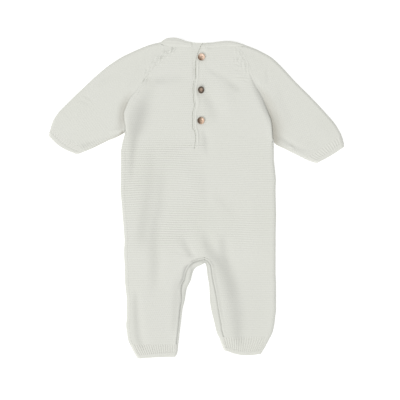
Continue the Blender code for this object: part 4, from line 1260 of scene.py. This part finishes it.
def knit_material(name, colour, stitch_width, stitch_height, ribbed):
    """Matt cotton knit: loops in the bump, a drift of colour, and painted shade: brown in shaded
    places, and dark between the ridges, in seams and troughs and along the rims.
    """
    material, tree, shader = new_material(name)
    place = add_node(tree, "UVMap", uv_map="knit").outputs["UV"]
    u, v = add_node(tree, "SeparateXYZ", {0: place}).outputs[:2]
    turn = math.pi / (stitch_width * MM)
    climb = math.pi / (stitch_height * MM)
    if ribbed:
        lean = math_node(tree, "ABSOLUTE", math_node(
            tree, "SINE", math_node(tree, "MULTIPLY", u, turn)))
        rows = math_node(tree, "MULTIPLY", v, 2 * climb)
        loops = math_node(tree, "SINE", math_node(
            tree, "ADD", rows, math_node(tree, "MULTIPLY", lean, RIB_LEAN)))
    else:
        columns = math_node(tree, "COSINE", math_node(tree, "MULTIPLY", u, 2 * turn))
        rows = math_node(tree, "COSINE", math_node(tree, "MULTIPLY", v, climb))
        loops = math_node(tree, "MULTIPLY", columns, rows)
    fibres = noise(tree, FIBRE_SCALE, 3.0, 0.6)
    height = math_node(tree, "ADD", math_node(tree, "MULTIPLY", loops, LOOP_SHARE),
                       math_node(tree, "MULTIPLY", fibres, FIBRE_SHARE))
    bump = add_node(tree, "Bump", {"Strength": 0.5, "Distance": BUMP_HEIGHT, "Height": height})

    drift = span(tree, noise(tree, DRIFT_SCALE, 3.0), 0.3, 0.7)
    flecks = span(tree, noise(tree, FLECK_SCALE), 0.35, 0.65)
    tint = mix(tree, drift, colour, darkened(colour, 0.985, 0.99, 0.975))
    tint = mix(tree, math_node(tree, "MULTIPLY", flecks, 0.6), tint,
               darkened(colour, 0.955, 0.955, 0.955))
    # Painted brown shade, where the sleeves lie in the shade of the underarms and raglan seams.
    tint = mix(tree, attribute(tree, "shade"), tint, CREAM_SHADE)
    # Painted shade: darkness in grooves, seams, troughs, the body's shaded places and along the
    # outline.
    painted_dark_share = math_node(tree, "MULTIPLY", attribute(tree, "painted_dark_shade"), HOLLOW_TONE)
    tint = mix(tree, math_node(tree, "MINIMUM", painted_dark_share, DEEPEST_TONE), tint, (0, 0, 0, 1))
    fill(tree, shader, {"Base Color": tint, "Normal": bump.outputs["Normal"], "Roughness": 0.95,
                        "Specular IOR Level": 0.2, "Sheen Weight": 0.12,
                        "Sheen Roughness": 0.5})
    return material


# The buttons.

# A button's shell turns from its light to its dark brown along a way (lean) and from the middle out
# (ring). Both paint the lamp's light on the dished face: painted shade to one side and round the rim,
# and the light brown is in part a painted highlight.
Button = namedtuple("Button", "x y tilt turn light dark base lean ring")
BUTTONS = {
    "button_top": Button(7.8, 225.6, 0, 35, (0.82, 0.60, 0.46, 1), (0.15, 0.08, 0.04, 1),
                         0.25, (-0.7, -0.5), 0.2),
    "button_middle": Button(6.1, 172.8, 34, 100, (0.74, 0.55, 0.42, 1), (0.075, 0.044, 0.022, 1),
                            0.1, (-0.15, 0.0), 2.6),
    "button_bottom": Button(7.0, 124.0, 0, 0, (0.74, 0.51, 0.36, 1), (0.10, 0.058, 0.03, 1),
                            0.45, (-1.3, 0.0), 0.1),
}
BUTTON_RADIUS = 5.7
BUTTON_SEAT = 7.55
BUTTON_SIDES = 72
BUTTON_PROFILE = [(0, 1.75), (1.2, 1.77), (2.2, 1.9), (2.9, 2.2), (3.4, 2.55), (4.0, 2.92),
                  (4.5, 3.08), (4.95, 3.1), (5.3, 2.94), (5.55, 2.6), (5.68, 2.2),
                  (BUTTON_RADIUS, 1.9), (5.6, 1.5), (5.3, 1.15), (4.6, 0.8), (3.8, 0.5),
                  (2.8, 0.2), (1.6, 0.03), (0, 0)]
HOLE_RADIUS = 0.65
HOLE_SIDES = 20
HOLE_DEPTH = 8
HOLE_SPACING = 2.7
CLOUD_SCALE = 320
STREAK_SCALE = 260
THREAD_RADIUS = 0.26
THREAD_COLOUR = (0.60, 0.44, 0.30, 1)
TWIST_SCALE = 2600


def button_material(name, button):
    """Polished shell: clouds of two browns, with painted shade to one side and round the rim, and a
    partly painted highlight in the light brown.
    """
    material, tree, shader = new_material(name)
    place = object_place(tree)
    marbling = add_node(tree, "Mapping", {
        "Vector": place, "Rotation": (0, 0, math.radians(button.turn))}).outputs["Vector"]
    clouds = add_node(tree, "TexNoise", {"Vector": marbling, "Scale": CLOUD_SCALE, "Detail": 3})
    streaks = add_node(tree, "TexWave", {"Vector": marbling, "Scale": STREAK_SCALE,
                                         "Distortion": 6, "Detail": 2})
    x, y = add_node(tree, "SeparateXYZ", {0: place}).outputs[:2]
    reach = 1 / (BUTTON_RADIUS * MM)
    # Painted shade: darker towards the side that lean points to, and towards the rim.
    side = math_node(tree, "ADD", math_node(tree, "MULTIPLY", x, button.lean[0] * reach),
                     math_node(tree, "MULTIPLY", y, button.lean[1] * reach))
    square = math_node(tree, "ADD", math_node(tree, "MULTIPLY", x, x),
                       math_node(tree, "MULTIPLY", y, y))
    share = math_node(tree, "ADD", span(tree, clouds.outputs["Fac"], 0.35, 0.65, -0.25, 0.25),
                      span(tree, streaks.outputs["Fac"], 0, 1, -0.1, 0.1))
    share = math_node(tree, "ADD", share, math_node(tree, "ADD", side, button.base))
    share = math_node(tree, "ADD", share,
                      math_node(tree, "MULTIPLY", square, button.ring * reach ** 2))
    fill(tree, shader, {"Base Color": mix(tree, share, button.light, button.dark),
                        "Roughness": 0.22, "Specular IOR Level": 0.5, "Coat Weight": 0.4,
                        "Coat Roughness": 0.08})
    return material


def thread_material():
    """Twisted cotton thread."""
    material, tree, shader = new_material("sewing_thread")
    twist = span(tree, noise(tree, TWIST_SCALE), 0.35, 0.65)
    dark = darkened(THREAD_COLOUR, 0.7, 0.7, 0.7)
    fill(tree, shader, {"Base Color": mix(tree, twist, THREAD_COLOUR, dark), "Roughness": 0.85})
    return material


def evaluated(item, name):
    """The item with its modifiers applied, as a new object at the origin."""
    graph = bpy.context.evaluated_depsgraph_get()
    graph.update()
    return new_object(name, bpy.data.meshes.new_from_object(item.evaluated_get(graph)))


def object_of(work, name):
    """A new object from a bmesh, which is freed."""
    mesh = bpy.data.meshes.new(name)
    work.to_mesh(mesh)
    work.free()
    return new_object(name, mesh)


def put_on(item, name, button, drop):
    """Set a piece on a button's place and tilt, in the button's stead or along with it."""
    item.location = (button.x * MM, button.y * MM, (BUTTON_SEAT + drop) * MM)
    item.rotation_euler = (0, math.radians(button.tilt), 0)
    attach(item, "root")
    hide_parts(name)


def on_button(button, along_holes, shift):
    """A place on a button's plane, from steps along the line of its holes and beside it."""
    turn = math.radians(button.turn)
    return (along_holes * math.cos(turn) - shift * math.sin(turn),
            along_holes * math.sin(turn) + shift * math.cos(turn))


def make_thread(name, button, drop, material):
    """Two strands from hole to hole, down through the button and into the band below."""
    curve = bpy.data.curves.new("thread_" + name, "CURVE")
    curve.dimensions = "3D"
    curve.bevel_depth = THREAD_RADIUS * MM
    curve.bevel_resolution = 3
    half = HOLE_SPACING / 2
    foot = -1.2 - drop
    for shift in (-THREAD_RADIUS, THREAD_RADIUS):
        rise = [(-half - 0.1, foot), (-half, 0.6), (-half, 1.5), (-half + 0.35, 2.1)]
        path = rise + [(0, 2.22 + 0.1 * shift)] + [(-place, height) for place, height in rise[::-1]]
        spline = curve.splines.new("BEZIER")
        spline.bezier_points.add(len(path) - 1)
        for point, (along_holes, height) in zip(spline.bezier_points, path):
            x, y = on_button(button, along_holes, shift)
            point.co = (x * MM, y * MM, height * MM)
            point.handle_left_type = point.handle_right_type = "AUTO"
    rough = new_object("thread_" + name, curve)
    thread = evaluated(rough, "stitch_" + name)
    bpy.data.objects.remove(rough)
    thread.data.shade_smooth()
    thread.data.materials.clear()
    thread.data.materials.append(material)
    put_on(thread, name, button, drop)


def make_button(name, button, thread):
    """A button turned from its profile, with two holes cut through it, and its thread."""
    work = bmesh.new()
    points = [work.verts.new((radius * MM, 0, height * MM))
              for radius, height in BUTTON_PROFILE]
    for pair in zip(points, points[1:]):
        work.edges.new(pair)
    bmesh.ops.spin(work, geom=work.verts[:] + work.edges[:], cent=(0, 0, 0), axis=(0, 0, 1),
                   angle=2 * math.pi, steps=BUTTON_SIDES, use_merge=True)
    bmesh.ops.remove_doubles(work, verts=work.verts, dist=0.00001)
    bmesh.ops.recalc_face_normals(work, faces=work.faces)
    rough = object_of(work, name + "_turned")
    helpers = [rough]
    for along_holes in (-HOLE_SPACING / 2, HOLE_SPACING / 2):
        work = bmesh.new()
        bmesh.ops.create_cone(work, cap_ends=True, segments=HOLE_SIDES, radius1=HOLE_RADIUS * MM,
                              radius2=HOLE_RADIUS * MM, depth=HOLE_DEPTH * MM)
        x, y = on_button(button, along_holes, 0)
        bmesh.ops.translate(work, verts=work.verts, vec=(x * MM, y * MM, 0))
        helpers.append(object_of(work, "hole"))
        rough.modifiers.new("hole", "BOOLEAN").object = helpers[-1]
    whole = evaluated(rough, "shell_" + name)
    for helper in helpers:
        bpy.data.objects.remove(helper)
    tilt = math.radians(button.tilt)
    drop = max(radius * math.sin(tilt) - height * math.cos(tilt)
               for radius, height in BUTTON_PROFILE)
    finish_mesh(whole.data, SHARP_BUTTON, button_material("polish_painted_shade_" + name, button))
    put_on(whole, name, button, drop)
    make_thread(name, button, drop, thread)


# The stage.

FLOOR_HALF = 4.0
FLOOR_HEIGHT = -0.0003
FLOOR_GREYS = ((0.59, 0.59, 0.59, 1), (0.61, 0.61, 0.61, 1))
FLOOR_GRAIN = 30
FLOOR_GLOW = 0.62
SKY_STRENGTH = 0.7
WHITE = (1, 1, 1, 1)
KEY_PLACE = (-3.8, -3.8, 6.0)
KEY_SIZE = 4.7
KEY_ENERGY = 328
CAMERA_PLACE = (0.0056, -0.0026, 1.8)
SHARP_HEIGHT = 0.0037
FRAME_WIDTH = 0.64
SENSOR_WIDTH = 36


def make_floor():
    corners = [(x * FLOOR_HALF, y * FLOOR_HALF, 0) for x, y in ((-1, -1), (1, -1), (1, 1), (-1, 1))]
    mesh = bpy.data.meshes.new("studio_floor")
    mesh.from_pydata(corners, [], [(0, 1, 2, 3)])
    floor = new_object("studio_floor", mesh)
    floor.location = (0, 0, FLOOR_HEIGHT)
    material, tree, shader = new_material("studio_white")
    grain = span(tree, noise(tree, FLOOR_GRAIN), 0.3, 0.7)
    fill(tree, shader, {"Base Color": mix(tree, grain, *FLOOR_GREYS), "Roughness": 0.9,
                        "Specular IOR Level": 0.1, "Emission Color": WHITE,
                        "Emission Strength": FLOOR_GLOW})
    mesh.materials.append(material)


def make_stage():
    """A white floor and sky, one large soft light from the lower left, and the camera."""
    make_floor()
    world = bpy.data.worlds.new("studio")
    bpy.context.scene.world = world
    world.use_nodes = True
    background = world.node_tree.nodes["Background"]
    fill(world.node_tree, background, {"Color": WHITE, "Strength": SKY_STRENGTH})
    lamp = bpy.data.lights.new("key", "AREA")
    lamp.size = KEY_SIZE
    lamp.energy = KEY_ENERGY
    item = new_object("key", lamp)
    item.location = KEY_PLACE
    level = math.hypot(KEY_PLACE[0], KEY_PLACE[1])
    item.rotation_euler = (math.atan2(level, KEY_PLACE[2]), 0,
                           math.atan2(KEY_PLACE[0], -KEY_PLACE[1]))

    lens = bpy.data.cameras.new("camera")
    lens.sensor_width = SENSOR_WIDTH
    lens.lens = SENSOR_WIDTH * (CAMERA_PLACE[2] - SHARP_HEIGHT) / FRAME_WIDTH
    camera = new_object("camera", lens)
    camera.location = CAMERA_PLACE
    bpy.context.scene.camera = camera
    bpy.context.scene.view_settings.view_transform = "Standard"
    bpy.context.scene.view_settings.look = "None"


def make_romper():
    knit = knit_material("cotton_garter", CREAM, 3.2, GARTER_PITCH, False)
    rib = knit_material("cotton_rib", RIB_CREAM, 4.0, CROSSING_PITCH, True)
    band = knit_material("cotton_band", CREAM, 3.0, 2.9, False)
    front, back = make_body(knit)
    left = make_sleeve("sleeve_left", LEFT, knit)
    right = make_sleeve("sleeve_right", RIGHT, knit)
    cuffs = [make_cuff(name, cuff, rib) for name, cuff in CUFFS.items()]
    neck = make_neckband(band)
    under = make_button_band(band)
    over = make_buttonhole_band(band)
    thread = thread_material()
    for name, button in BUTTONS.items():
        make_button(name, button, thread)


make_romper()
make_stage()
